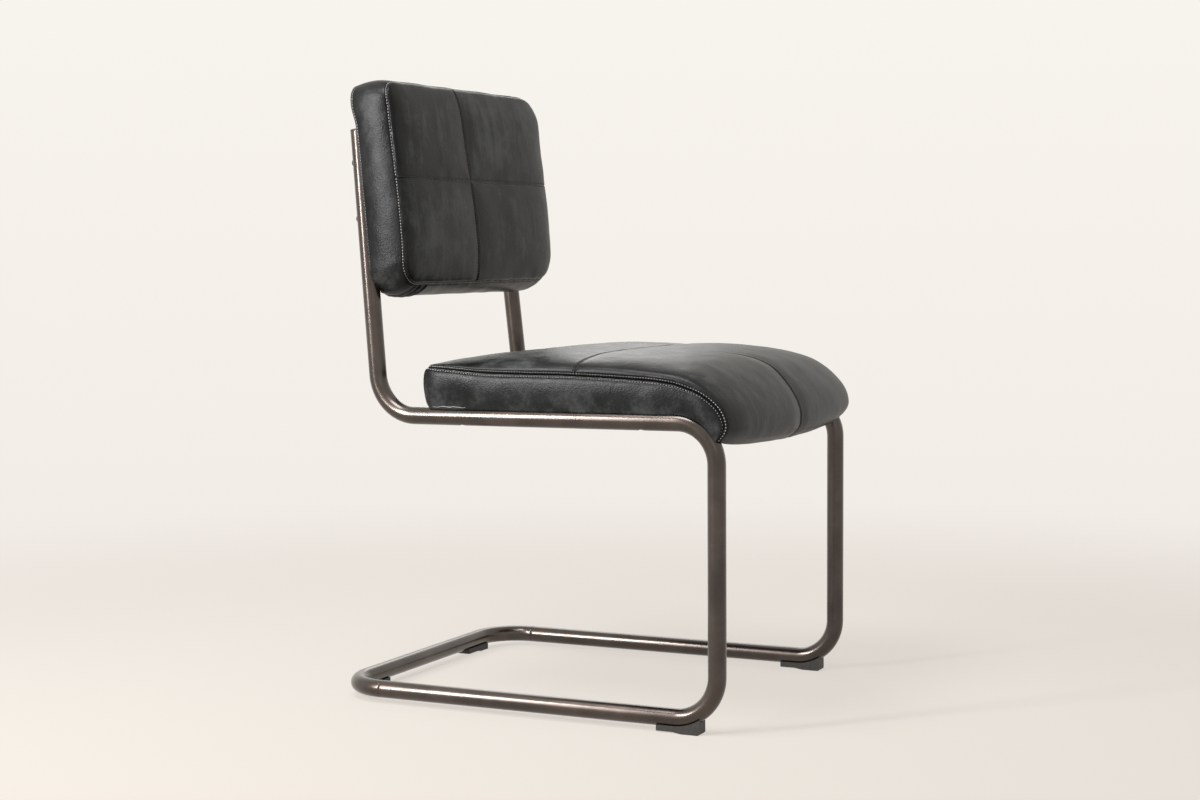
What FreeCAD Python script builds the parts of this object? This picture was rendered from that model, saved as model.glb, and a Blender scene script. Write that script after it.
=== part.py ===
import FreeCAD, Part

import math
import os

import Sketcher
from FreeCAD import Placement, Rotation, Vector

# A cantilever side chair: a bent steel tube frame with a leather seat and a leather back.
# Frame of the whole model: millimetres, +Z up, the front of the chair towards -Y, and the
# origin on the floor under the middle of the chair. Left and right are the sitter's.

DIMENSIONS = {
    "tube_diameter": 25.0,
    "tube_wall": 2.0,
    "leg_half_span": 236.0,
    "rail_rear_half_span": 217.0,
    "top_half_span": 204.0,
    "floor_axis_height": 19.5,
    "seat_front_axis_height": 418.0,
    "seat_rear_axis_height": 413.5,
    "upright_top_height": 818.5,
    "seat_rail_run": 527.0,
    "floor_run": 588.0,
    "upright_lean": 37.5,
    "seat_front_bend": 56.0,
    "foot_bend": 60.0,
    "seat_rear_bend": 63.0,
    "floor_corner_bend": 65.0,
    "joint_lead": 3.0,
    "spigot_length": 30.0,
    "spigot_wall": 1.5,
    "spigot_lead": 2.0,
    "cap_thickness": 2.5,
    "cap_stem": 14.0,
    "cap_edge": 1.2,
    "dent_depth": 2.2,
    "dent_radius": 75.0,
    "bolt_diameter": 6.0,
    "bolt_head_diameter": 10.5,
    "bolt_head_height": 3.3,
    "bolt_socket": 3.5,
    "bolt_access": 12.5,
    "tapping_diameter": 4.0,
    "tapping_head_diameter": 7.6,
    "tapping_head_height": 2.2,
    "tapping_length": 11.0,
    "front_glide_start": 22.0,
    "front_glide_length": 63.0,
    "glide_width": 22.0,
    "glide_wrap": 3.0,
    "glide_toe": 3.0,
    "glide_sole": 24.0,
    "glide_ramp": 12.0,
    "glide_tail_lift": 2.0,
    "front_glide_screw": 68.0,
    "rear_glide_place": 172.0,
    "rear_glide_tail": 40.0,
    "board_thickness": 12.0,
    "board_wrap_angle": 52.0,
    "leather_thickness": 1.5,
    "lining_thickness": 0.8,
    "seat_rear_run": 449.0,
    "seat_overlap": 9.0,
    "seat_crown": 78.5,
    "seat_side_height": 47.0,
    "seat_seam_run": 205.0,
    "seat_seam_depth": 2.5,
    "seat_side_bulge": 3.0,
    "seat_bolt_front": 110.0,
    "seat_bolt_rear": 390.0,
    "tee_flange": 14.0,
    "tee_flange_thickness": 1.4,
    "tee_barrel": 8.0,
    "tee_depth": 9.0,
    "back_half_width": 227.0,
    "back_low": 181.5,
    "back_high": 470.0,
    "back_bulge": 3.0,
    "back_top_bulge": 5.5,
    "back_low_sag": 12.0,
    "back_depth": 56.0,
    "back_crown": 11.0,
    "back_corner": 34.0,
    "back_board_margin": 14.0,
    "back_seam_aside": -30.0,
    "back_seam_height": 331.0,
    "back_bolt_low": 282.0,
    "back_bolt_high": 362.0,
    "fit_gap": 0.3,
    "slide_gap": 0.1,
    "thread_gap": 0.05,
}

# The seat cushion along its rail: (run as a share of the rear run, side height and crown as
# shares of the side height and the crown at the cross seam).
SEAT_FLAT = (
    (1.000, 1.12, 0.70),
    (0.985, 1.12, 0.80),
    (0.950, 1.11, 0.86),
    (0.820, 1.06, 0.925),
    (0.650, 1.02, 0.975),
    (0.470, 1.00, 1.00),
)
SEAT_FORE = (
    (0.435, 1.00, 1.00),
    (0.330, 0.96, 0.965),
    (0.217, 0.87, 0.905),
)
# Its waterfall front, round the bend: (angle in degrees, side share, crown share).
SEAT_ROLL = (
    (0.0, 0.77, 0.83),
    (18.0, 0.68, 0.745),
    (34.0, 0.60, 0.61),
    (47.0, 0.49, 0.53),
    (56.0, 0.28, 0.46),
    (61.0, 0.13, 0.415),
    (66.0, 0.08, 0.31),
    (70.5, 0.06, 0.18),
    (74.0, 0.05, 0.07),
)
# Across the cushion: where a panel's crest and its shoulder stand, as shares of the half
# width, and how far the shoulder stands between the side seam and the crest.
PANEL_CREST = 0.55
SHOULDER = 0.935
SHOULDER_RISE = 0.62
# Across the back: how far each ring of the crowned front stands out, as a share of the crown,
# and how far it is drawn in from the seam.
BACK_CROWN_RINGS = (
    (0.55, 9.0),
    (0.85, 28.0),
    (1.00, 80.0),
)
# How much of the bottom's sag shows at the rear edge of the back's band.
REAR_SAG = 0.7
# Where the band swells most, as a share of the back's depth.
SWELL_PLACE = 0.45
# The filling keeps inside the band: how far its rear edge is drawn in, as a share of the
# band's swell, and how much of the bottom's sag it follows at its rear and half way.
FOAM_DRAW_IN = 0.6
FOAM_SAG_REAR = 0.55
FOAM_SAG_MIDDLE = 0.4
# The band and the filling end where the side is lower than this share of its full height.
LOWEST_SIDE = 0.12

doc = FreeCAD.newDocument("cantilever_chair")
sheet = doc.addObject("Spreadsheet::Sheet", "Dimensions")
for line, (alias, value) in enumerate(DIMENSIONS.items(), start=1):
    sheet.set(f"A{line}", alias)
    sheet.set(f"B{line}", str(value))
    sheet.setAlias(f"B{line}", alias)
doc.recompute()

SUBPARTS = []


def size(alias):
    """The value of one driving dimension, read back from the sheet."""
    return float(sheet.get(alias))


def cell(alias):
    """The expression that binds a property to one driving dimension."""
    return f"Dimensions.{alias}"


TUBE_R = size("tube_diameter") / 2
BORE_R = TUBE_R - size("tube_wall")
GAP = size("fit_gap")
LEATHER = size("leather_thickness")
RAIL_SLOPE = math.atan2(
    size("seat_rear_axis_height") - size("seat_front_axis_height"), size("seat_rail_run")
)
UPRIGHT_RISE = size("upright_top_height") - size("seat_rear_axis_height")
LEAN = math.atan2(size("upright_lean"), UPRIGHT_RISE)
UPRIGHT_LENGTH = math.hypot(UPRIGHT_RISE, size("upright_lean"))


def keep(feature):
    """Lists a finished sub-part for checking and export."""
    SUBPARTS.append(feature)
    return feature


def bend_setback(angle_between, radius):
    """Distance from a corner to where its bend of that radius starts."""
    return radius / math.tan(angle_between / 2)


# The seat frame: X across, Y along the seat rail towards the back, Z off the rail; its origin
# is on top of the rail over the leg. The front bend starts at ROLL_START and has
# ROLL_RADIUS on the outside of the tube.
ROLL_START = bend_setback(math.pi / 2 + RAIL_SLOPE, size("seat_front_bend"))
ROLL_RADIUS = size("seat_front_bend") + TUBE_R


def seat_heights(side_share, crown_share):
    """Side height and crown height over the rail for one station of the cushion."""
    return side_share * size("seat_side_height"), crown_share * size("seat_crown")


def roll_point(angle, x, height):
    """A point over the front bend, at that angle forward of the rail's normal."""
    reach = ROLL_RADIUS + height
    return Vector(x, ROLL_START - reach * math.sin(angle), reach * math.cos(angle) - ROLL_RADIUS)


def front_reach():
    """How far the cushion's front stands out before the leg's axis."""
    reach = 0.0
    for degrees, side_share, crown_share in SEAT_ROLL:
        height = seat_heights(side_share, crown_share)[1]
        reach = max(reach, -roll_point(math.radians(degrees), 0, height).y)
    return reach


LEG_Y = -(size("floor_run") + TUBE_R - front_reach()) / 2

SEAT_PLACE = Placement(
    Vector(
        0,
        LEG_Y - TUBE_R * math.sin(RAIL_SLOPE),
        size("seat_front_axis_height") + TUBE_R * math.cos(RAIL_SLOPE),
    ),
    Rotation(Vector(1, 0, 0), math.degrees(RAIL_SLOPE)),
)
# The back frame: X across, -Y forward off the uprights' axes, Z up along the uprights.
BACK_PLACE = Placement(
    Vector(0, LEG_Y + size("seat_rail_run"), size("seat_rear_axis_height")),
    Rotation(Vector(1, 0, 0), -math.degrees(LEAN)),
)


def rail_x(run):
    """Half the span between the seat rails' axes at that run from the legs."""
    share = run / size("seat_rail_run")
    return size("leg_half_span") + share * (size("rail_rear_half_span") - size("leg_half_span"))


def upright_x(height):
    """Half the span between the uprights' axes at that height in the back frame."""
    share = height / UPRIGHT_LENGTH
    return size("rail_rear_half_span") + share * (
        size("top_half_span") - size("rail_rear_half_span")
    )


def seat_half_width(run):
    """Half the cushion's width, which follows the rails and stands on them."""
    return rail_x(max(run, 0.0)) + size("seat_overlap")


# General helpers


def bent_wire(points, radii):
    """A path of straight runs through the points, with a tangent arc of its radius at each
    inner point."""
    edges = []
    start = points[0]
    for before, corner, after, radius in zip(points, points[1:], points[2:], radii):
        back = (before - corner).normalize()
        onward = (after - corner).normalize()
        half = back.getAngle(onward) / 2
        setback = radius / math.tan(half)
        middle_way = (back + onward).normalize()
        centre = corner + middle_way * (radius / math.sin(half))
        first = corner + back * setback
        last = corner + onward * setback
        edges.append(Part.LineSegment(start, first).toShape())
        edges.append(Part.Arc(first, centre - middle_way * radius, last).toShape())
        start = last
    edges.append(Part.LineSegment(start, points[-1]).toShape())
    return Part.Wire(edges)


def swept_rod(points, radii, radius):
    """A solid round rod along a bent path."""
    path = bent_wire(points, radii)
    ring = Part.Wire([Part.makeCircle(radius, points[0], points[1] - points[0])])
    return path.makePipeShell([ring], True, False)


def cylinder(radius, length, base, direction):
    """A round bar from its base point along a direction."""
    return Part.makeCylinder(radius, length, base, direction)


def moved(shape, placement):
    """A copy of a shape carried from its own frame to the chair's frame."""
    copy = shape.copy()
    copy.Placement = placement.multiply(copy.Placement)
    return copy


def feature(label, shape, placement=None):
    """A sub-part held as a plain feature with that shape and place."""
    made = doc.addObject("Part::Feature", label)
    made.Label = label
    made.Shape = shape
    if placement is not None:
        made.Placement = placement
    return keep(made)


def new_body(label):
    """An empty body that bears its node's name."""
    body = doc.addObject("PartDesign::Body", label)
    body.Label = label
    return keep(body)


def sketch_on(body, role, name, offset=0.0):
    """A sketch on one of the body's own origin planes, moved along the plane's normal."""
    plane = next(p for p in body.Origin.OriginFeatures if p.Role == role)
    sketch = body.newObject("Sketcher::SketchObject", f"{body.Name}_{name}")
    sketch.AttachmentSupport = [(plane, "")]
    sketch.MapMode = "FlatFace"
    sketch.AttachmentOffset = Placement(Vector(0, 0, offset), Rotation())
    return sketch


def draw_circle(sketch, x, y, radius, expression):
    """A circle whose radius is bound to the sheet."""
    ring = sketch.addGeometry(Part.Circle(Vector(x, y, 0), Vector(0, 0, 1), radius), False)
    rule = sketch.addConstraint(Sketcher.Constraint("Radius", ring, radius))
    sketch.setExpression(f"Constraints[{rule}]", expression)
    return ring


def draw_outline(sketch, edges):
    """A closed outline of lines and arcs, joined end to end in the order given."""
    for edge in edges:
        sketch.addGeometry(edge, False)


def polygon(points):
    """The line segments of a closed polygon, for a sketch."""
    return [Part.LineSegment(a, b) for a, b in zip(points, points[1:] + points[:1])]


def pad(body, sketch, length, expression, midplane=False, reverse=False):
    """A pad of that sketch, its length bound to the sheet."""
    made = body.newObject("PartDesign::Pad", f"{sketch.Name}_pad")
    made.Profile = sketch
    made.Length = length
    made.setExpression("Length", expression)
    made.Midplane = midplane
    made.Reversed = reverse
    return made


def pocket_through(body, sketch):
    """A pocket through everything, both ways from its sketch. The body must lose volume."""
    doc.recompute()
    before = body.Shape.Volume
    made = body.newObject("PartDesign::Pocket", f"{sketch.Name}_pocket")
    made.Profile = sketch
    made.Type = "ThroughAll"
    made.Midplane = True
    doc.recompute()
    if body.Shape.Volume >= before:
        raise RuntimeError(f"{body.Label}: {sketch.Name} cuts nothing")
    return made


def pocket_blind(body, sketch, length, expression, reverse=True):
    """A pocket of a set depth, bound to the sheet. The body must lose volume."""
    doc.recompute()
    before = body.Shape.Volume
    made = body.newObject("PartDesign::Pocket", f"{sketch.Name}_pocket")
    made.Profile = sketch
    made.Length = length
    made.setExpression("Length", expression)
    made.Reversed = reverse
    doc.recompute()
    if body.Shape.Volume >= before:
        raise RuntimeError(f"{body.Label}: {sketch.Name} cuts nothing")
    return made


def draw_holes(sketch, centres, diameter, gap):
    """A circle at each (x, y), as wide as a named diameter and clear of it by a named gap."""
    for x, y in centres:
        radius = size(diameter) / 2 + size(gap)
        draw_circle(sketch, x, y, radius, f"{cell(diameter)} / 2 + {cell(gap)}")


# Frame


def side_points(side):
    """The corners of one side tube's axis, from the floor joint to the top of the upright."""
    leg_x = side * size("leg_half_span")
    joint_y = LEG_Y + size("floor_run") - size("floor_corner_bend") - size("joint_lead")
    rear_y = LEG_Y + size("seat_rail_run")
    return [
        Vector(leg_x, joint_y, size("floor_axis_height")),
        Vector(leg_x, LEG_Y, size("floor_axis_height")),
        Vector(leg_x, LEG_Y, size("seat_front_axis_height")),
        Vector(side * size("rail_rear_half_span"), rear_y, size("seat_rear_axis_height")),
        Vector(
            side * size("top_half_span"),
            rear_y + size("upright_lean"),
            size("upright_top_height"),
        ),
    ]


def side_bends():
    """The bend radii of a side tube, in the order of its corners."""
    return [size("foot_bend"), size("seat_front_bend"), size("seat_rear_bend")]


def back_bolt_places(side):
    """The axes of one upright's two bolts, in the back frame at the upright's axis."""
    heights = (size("back_bolt_low"), size("back_bolt_high"))
    return [Vector(side * upright_x(height), 0, height) for height in heights]


def seat_bolt_places(side):
    """The axes of one rail's two bolts, in the seat frame on top of the rail."""
    runs = (size("seat_bolt_front"), size("seat_bolt_rear"))
    return [Vector(side * rail_x(run), run, 0) for run in runs]


def front_screw_place(side):
    """Where a front glide's screw enters the floor rail, at the rail's underside."""
    return Vector(
        side * size("leg_half_span"),
        LEG_Y + size("front_glide_screw"),
        size("floor_axis_height") - TUBE_R,
    )


def rear_screw_place(side):
    """Where a rear glide's screw enters the crossbar, at its underside."""
    return Vector(
        side * size("rear_glide_place"),
        LEG_Y + size("floor_run"),
        size("floor_axis_height") - TUBE_R,
    )


def make_side_tube(label, side):
    """One side of the frame: floor rail, leg, seat rail and upright bent from one tube, with
    a shallow flattened seat behind each bolt of the back, and under each bolt of the seat a
    hole that its head passes through."""
    outer = swept_rod(side_points(side), side_bends(), TUBE_R)
    inner = swept_rod(side_points(side), side_bends(), BORE_R)
    span = 2 * TUBE_R
    for place in back_bolt_places(side):
        axis = place + Vector(-span, TUBE_R - size("dent_depth") + size("dent_radius"), 0)
        press = cylinder(size("dent_radius"), 2 * span, axis, Vector(1, 0, 0))
        relief = cylinder(size("dent_radius") + size("tube_wall"), 2 * span, axis, Vector(1, 0, 0))
        outer = outer.cut(moved(press, BACK_PLACE))
        inner = inner.cut(moved(relief, BACK_PLACE))
    tube = outer.cut(inner)
    clearance = size("bolt_diameter") / 2 + GAP
    for place in back_bolt_places(side):
        drill = cylinder(clearance, 2 * span, place - Vector(0, span, 0), Vector(0, 1, 0))
        tube = tube.cut(moved(drill, BACK_PLACE))
    for place in seat_bolt_places(side):
        under = place - Vector(0, 0, 1.5 * span)
        drill = cylinder(clearance, 2 * span, under, Vector(0, 0, 1))
        access = cylinder(size("bolt_access") / 2, 1.5 * span - TUBE_R, under, Vector(0, 0, 1))
        tube = tube.cut(moved(drill, SEAT_PLACE)).cut(moved(access, SEAT_PLACE))
    pilot = cylinder(
        size("tapping_diameter") / 2 + size("slide_gap"),
        TUBE_R,
        front_screw_place(side) - Vector(0, 0, 1),
        Vector(0, 0, 1),
    )
    feature(label, tube.cut(pilot))


def make_rear_floor_tube():
    """The U of tube that joins the two floor rails behind the sitter, with a hole for each
    rear glide."""
    body = new_body("rear_floor_tube")
    half = size("leg_half_span")
    bend = size("floor_corner_bend")
    ends_y = size("floor_run") - bend - size("joint_lead")
    rear_y = size("floor_run")
    turn = bend * math.sqrt(0.5)
    path = sketch_on(body, "XY_Plane", "path")
    draw_outline(
        path,
        [
            Part.LineSegment(Vector(-half, ends_y, 0), Vector(-half, rear_y - bend, 0)),
            Part.Arc(
                Vector(-half, rear_y - bend, 0),
                Vector(-half + bend - turn, rear_y - bend + turn, 0),
                Vector(-half + bend, rear_y, 0),
            ),
            Part.LineSegment(Vector(-half + bend, rear_y, 0), Vector(half - bend, rear_y, 0)),
            Part.Arc(
                Vector(half - bend, rear_y, 0),
                Vector(half - bend + turn, rear_y - bend + turn, 0),
                Vector(half, rear_y - bend, 0),
            ),
            Part.LineSegment(Vector(half, rear_y - bend, 0), Vector(half, ends_y, 0)),
        ],
    )
    ring = sketch_on(body, "XZ_Plane", "ring", -ends_y)
    draw_circle(ring, -half, 0, TUBE_R, f"{cell('tube_diameter')} / 2")
    draw_circle(ring, -half, 0, BORE_R, f"{cell('tube_diameter')} / 2 - {cell('tube_wall')}")
    doc.recompute()
    pipe = body.newObject("PartDesign::AdditivePipe", "rear_floor_pipe")
    pipe.Profile = ring
    pipe.Spine = path
    doc.recompute()
    holes = sketch_on(body, "XY_Plane", "glide_holes")
    centres = [(side * size("rear_glide_place"), rear_y) for side in (-1, 1)]
    draw_holes(holes, centres, "tapping_diameter", "slide_gap")
    pocket_blind(body, holes, TUBE_R, cell("tube_diameter"), reverse=False)
    body.Placement = Placement(Vector(0, LEG_Y, size("floor_axis_height")), Rotation())


def make_joint_spigot(label, side):
    """A short inner tube that lines up the floor rail and the rear tube at their joint."""
    body = new_body(label)
    ring = sketch_on(body, "XZ_Plane", "ring")
    draw_circle(
        ring,
        0,
        0,
        BORE_R - size("slide_gap"),
        f"{cell('tube_diameter')} / 2 - {cell('tube_wall')} - {cell('slide_gap')}",
    )
    draw_circle(
        ring,
        0,
        0,
        BORE_R - size("slide_gap") - size("spigot_wall"),
        f"{cell('tube_diameter')} / 2 - {cell('tube_wall')} - {cell('slide_gap')}"
        f" - {cell('spigot_wall')}",
    )
    pad(body, ring, size("spigot_length"), cell("spigot_length"))
    joint = side_points(side)[0]
    body.Placement = Placement(joint + Vector(0, size("spigot_lead"), 0), Rotation())


def make_upright_cap(label, side):
    """The domed plug that closes the top of an upright."""
    body = new_body(label)
    stem = BORE_R - size("slide_gap")
    thick = size("cap_thickness")
    edge = size("cap_edge")
    profile = sketch_on(body, "XZ_Plane", "profile")
    corner = edge * math.sqrt(0.5)
    draw_outline(
        profile,
        [
            Part.LineSegment(Vector(0, -size("cap_stem"), 0), Vector(stem, -size("cap_stem"), 0)),
            Part.LineSegment(Vector(stem, -size("cap_stem"), 0), Vector(stem, 0, 0)),
            Part.LineSegment(Vector(stem, 0, 0), Vector(TUBE_R, 0, 0)),
            Part.LineSegment(Vector(TUBE_R, 0, 0), Vector(TUBE_R, thick - edge, 0)),
            Part.Arc(
                Vector(TUBE_R, thick - edge, 0),
                Vector(TUBE_R - edge + corner, thick - edge + corner, 0),
                Vector(TUBE_R - edge, thick, 0),
            ),
            Part.LineSegment(Vector(TUBE_R - edge, thick, 0), Vector(0, thick, 0)),
            Part.LineSegment(Vector(0, thick, 0), Vector(0, -size("cap_stem"), 0)),
        ],
    )
    turned = body.newObject("PartDesign::Revolution", f"{label}_turned")
    turned.Profile = profile
    turned.ReferenceAxis = (profile, ["V_Axis"])
    turned.Angle = 360.0
    corners = side_points(side)
    along = (corners[-1] - corners[-2]).normalize()
    body.Placement = Placement(corners[-1], Rotation(Vector(0, 0, 1), along))


def glide_profile():
    """A front glide from the side: a flat sole, a rounded toe and a top edge that follows
    the tube part of the way up. Y is along the rail and Z is up from the floor."""
    start = size("front_glide_start")
    end = start + size("front_glide_length")
    bend = size("foot_bend")
    top_radius = bend + TUBE_R - size("glide_wrap")
    centre = Vector(bend, size("floor_axis_height") + bend, 0)
    tail_top = centre.y - top_radius
    rise = math.sqrt(top_radius**2 - (bend - start) ** 2)
    toe_top = Vector(start, centre.y - rise, 0)
    half_way = (bend + start) / 2
    middle = Vector(half_way, centre.y - math.sqrt(top_radius**2 - (bend - half_way) ** 2), 0)
    toe = size("glide_toe")
    turn = toe * (1 - math.sqrt(0.5))
    toe_low = Vector(start, toe, 0)
    toe_mid = Vector(start + turn, turn, 0)
    sole = Vector(start + toe, 0, 0)
    heel = Vector(start + toe + size("glide_sole"), 0, 0)
    under = Vector(heel.x + size("glide_ramp"), size("glide_tail_lift"), 0)
    tail = Vector(end, size("glide_tail_lift"), 0)
    return [
        Part.LineSegment(sole, heel),
        Part.LineSegment(heel, under),
        Part.LineSegment(under, tail),
        Part.LineSegment(tail, Vector(end, tail_top, 0)),
        Part.LineSegment(Vector(end, tail_top, 0), Vector(bend, tail_top, 0)),
        Part.Arc(Vector(bend, tail_top, 0), middle, toe_top),
        Part.LineSegment(toe_top, toe_low),
        Part.Arc(toe_low, toe_mid, sole),
    ]


def make_front_glide(label, side):
    """A moulded glide under a front foot bend, hollowed to the tube, with a screw hole."""
    body = new_body(label)
    profile = sketch_on(body, "YZ_Plane", "profile")
    draw_outline(profile, glide_profile())
    pad(body, profile, size("glide_width"), cell("glide_width"), midplane=True)
    bend = size("foot_bend")
    axis_z = size("floor_axis_height")
    end = size("front_glide_start") + size("front_glide_length") + TUBE_R
    path = sketch_on(body, "YZ_Plane", "tube_path")
    turn = bend * math.sqrt(0.5)
    draw_outline(
        path,
        [
            Part.LineSegment(Vector(end, axis_z, 0), Vector(bend, axis_z, 0)),
            Part.Arc(
                Vector(bend, axis_z, 0),
                Vector(bend - turn, axis_z + bend - turn, 0),
                Vector(0, axis_z + bend, 0),
            ),
        ],
    )
    ring = sketch_on(body, "XZ_Plane", "tube_ring", -end)
    draw_holes(ring, [(0, axis_z)], "tube_diameter", "fit_gap")
    carve_groove(body, ring, path)
    sink_screw(body, 0, size("front_glide_screw"))
    body.Placement = Placement(Vector(side * size("leg_half_span"), LEG_Y, 0), Rotation())


def carve_groove(body, ring, path):
    """Cuts the tube's own run out of a glide. The body must lose volume."""
    doc.recompute()
    before = body.Shape.Volume
    groove = body.newObject("PartDesign::SubtractivePipe", f"{body.Name}_saddle")
    groove.Profile = ring
    groove.Spine = path
    doc.recompute()
    if body.Shape.Volume >= before:
        raise RuntimeError(f"{body.Label}: the saddle cuts nothing")


def sink_screw(body, x, y):
    """A glide's screw hole, and the recess in its sole that hides the screw's head."""
    hole = sketch_on(body, "XY_Plane", "screw_hole")
    draw_holes(hole, [(x, y)], "tapping_diameter", "fit_gap")
    pocket_through(body, hole)
    recess = sketch_on(body, "XY_Plane", "screw_recess")
    draw_holes(recess, [(x, y)], "tapping_head_diameter", "fit_gap")
    depth = f"({cell('floor_axis_height')} - {cell('tube_diameter')} / 2) / 2"
    pocket_blind(body, recess, screw_seat_height(), depth)


def screw_seat_height():
    """Height over the floor at which a glide screw's head bears in its glide."""
    return (size("floor_axis_height") - TUBE_R) / 2


def make_rear_glide(label, side):
    """A glide under the crossbar: a block with a flat sole and a thin tail towards the
    middle, both hollowed to the tube."""
    body = new_body(label)
    half = size("glide_width") / 2
    tail_x = -side * (half + size("rear_glide_tail"))
    top = size("floor_axis_height") - TUBE_R + size("glide_wrap")
    profile = sketch_on(body, "XZ_Plane", "profile")
    draw_outline(
        profile,
        polygon(
            [
                Vector(side * half, 0, 0),
                Vector(side * half, top, 0),
                Vector(tail_x, top, 0),
                Vector(tail_x, size("glide_tail_lift"), 0),
                Vector(-side * (half + size("glide_ramp")), size("glide_tail_lift"), 0),
                Vector(-side * half, 0, 0),
            ]
        ),
    )
    pad(body, profile, size("glide_width"), cell("glide_width"), midplane=True)
    bend = size("floor_corner_bend")
    bend_x = side * (size("leg_half_span") - bend - size("rear_glide_place"))
    far_x = tail_x - side * TUBE_R
    path = sketch_on(body, "XY_Plane", "tube_path", size("floor_axis_height"))

    def on_bend(angle):
        return Vector(bend_x + side * bend * math.sin(angle), bend * (math.cos(angle) - 1), 0)

    draw_outline(
        path,
        [
            Part.LineSegment(Vector(far_x, 0, 0), Vector(bend_x, 0, 0)),
            Part.Arc(on_bend(0), on_bend(math.pi / 8), on_bend(math.pi / 4)),
        ],
    )
    ring = sketch_on(body, "YZ_Plane", "tube_ring", far_x)
    draw_holes(ring, [(0, size("floor_axis_height"))], "tube_diameter", "fit_gap")
    carve_groove(body, ring, path)
    sink_screw(body, 0, 0)
    body.Placement = Placement(
        Vector(side * size("rear_glide_place"), LEG_Y + size("floor_run"), 0), Rotation()
    )


def tapping_screw(place):
    """A pan-headed screw that points up, its head under the glide's inner seat."""
    base = Vector(place.x, place.y, screw_seat_height() - size("tapping_head_height"))
    up = Vector(0, 0, 1)
    head = cylinder(size("tapping_head_diameter") / 2, size("tapping_head_height"), base, up)
    edge = [e for e in head.Edges if abs(e.BoundBox.ZMax - base.z) < 1e-6 and e.Closed]
    head = head.makeFillet(size("tapping_head_height") / 3, edge)
    shank = cylinder(size("tapping_diameter") / 2, size("tapping_length"), base, up)
    depth = size("tapping_head_height") / 2
    reach = size("tapping_diameter")
    width = reach / 5
    screw = head.fuse(shank)
    for across, along in ((reach, width), (width, reach)):
        corner = base - Vector(across / 2, along / 2, 0)
        screw = screw.cut(Part.makeBox(across, along, depth, corner))
    return screw


def socket_bolt(length):
    """A button-headed bolt with a hexagon socket. Its head's underside is at the origin, and
    its shank runs along +Z."""
    head_r = size("bolt_head_diameter") / 2
    height = size("bolt_head_height")
    up = Vector(0, 0, 1)
    head = cylinder(head_r, height, Vector(0, 0, -height), up)
    rim = [e for e in head.Edges if abs(e.BoundBox.ZMax + height) < 1e-6 and e.Closed]
    head = head.makeFillet(height * 0.6, rim)
    shank = cylinder(size("bolt_diameter") / 2, length, Vector(0, 0, 0), up)
    across = size("bolt_socket") / math.sqrt(3)
    corners = [
        Vector(across * math.cos(k * math.pi / 3), across * math.sin(k * math.pi / 3), -height)
        for k in range(7)
    ]
    key = Part.Face(Part.makePolygon(corners)).extrude(Vector(0, 0, height * 0.6))
    return head.fuse(shank).cut(key)


def tee_nut():
    """A nut with a round flange. The flange lies from the origin up, the barrel hangs down."""
    up = Vector(0, 0, 1)
    flange = cylinder(size("tee_flange") / 2, size("tee_flange_thickness"), Vector(0, 0, 0), up)
    barrel = cylinder(size("tee_barrel") / 2, size("tee_depth"), Vector(0, 0, -size("tee_depth")), up)
    bore = cylinder(
        size("bolt_diameter") / 2 + size("thread_gap"),
        size("tee_depth") + 2 * size("tee_flange_thickness"),
        Vector(0, 0, -size("tee_depth") - size("tee_flange_thickness") / 2),
        up,
    )
    return flange.fuse(barrel).cut(bore)


def group(label, shapes):
    """Several like fasteners as one node of separate solids."""
    feature(label, Part.makeCompound(shapes))


def stack_of(board_bottom):
    """Where a tee nut's flange rests in its board, over the board's far face."""
    return board_bottom + size("board_thickness") - size("tee_flange_thickness")


def seat_tee_nuts_in(body, role, centres, level):
    """Drills a board for tee nuts: a hole for each barrel, and a recess from that level up
    for each flange."""
    holes = sketch_on(body, role, "barrel_holes")
    draw_holes(holes, centres, "tee_barrel", "fit_gap")
    pocket_through(body, holes)
    recess = sketch_on(body, role, "flange_recess", level)
    draw_holes(recess, centres, "tee_flange", "fit_gap")
    pocket_blind(body, recess, size("board_thickness"), cell("board_thickness"))


# Seat

BOARD_BOTTOM = size("lining_thickness") + 2 * GAP
BOARD_TOP = BOARD_BOTTOM + size("board_thickness")
COVER_REAR = size("seat_rear_run")
FOAM_REAR = COVER_REAR - LEATHER - GAP


def bent_sheet_profile(low, high, rear, angle):
    """The side view of a sheet that lies on the rails and rolls down over their front bend:
    low and high are its faces' heights over the rail."""
    near = roll_point(angle, 0, low)
    far = roll_point(angle, 0, high)
    near_mid = roll_point(angle / 2, 0, low)
    far_mid = roll_point(angle / 2, 0, high)

    def flat(point):
        return Vector(point.y, point.z, 0)

    return [
        Part.LineSegment(Vector(rear, low, 0), Vector(ROLL_START, low, 0)),
        Part.Arc(Vector(ROLL_START, low, 0), flat(near_mid), flat(near)),
        Part.LineSegment(flat(near), flat(far)),
        Part.Arc(flat(far), flat(far_mid), Vector(ROLL_START, high, 0)),
        Part.LineSegment(Vector(ROLL_START, high, 0), Vector(rear, high, 0)),
        Part.LineSegment(Vector(rear, high, 0), Vector(rear, low, 0)),
    ]


def taper_sides(body, inset, name):
    """Trims a sheet's two sides to lines that run beside the rails."""
    far = size("seat_rail_run")
    wide = 2 * size("leg_half_span")
    front = -ROLL_RADIUS
    trim = sketch_on(body, "XY_Plane", name)
    for side in (-1, 1):
        front_x = side * (seat_half_width(0) - inset)
        rear_x = side * (seat_half_width(far) - inset)
        outer = side * wide
        draw_outline(
            trim,
            polygon(
                [
                    Vector(front_x, front, 0),
                    Vector(front_x, 0, 0),
                    Vector(rear_x, far, 0),
                    Vector(outer, far, 0),
                    Vector(outer, front, 0),
                ]
            ),
        )
    pocket_through(body, trim)


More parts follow.
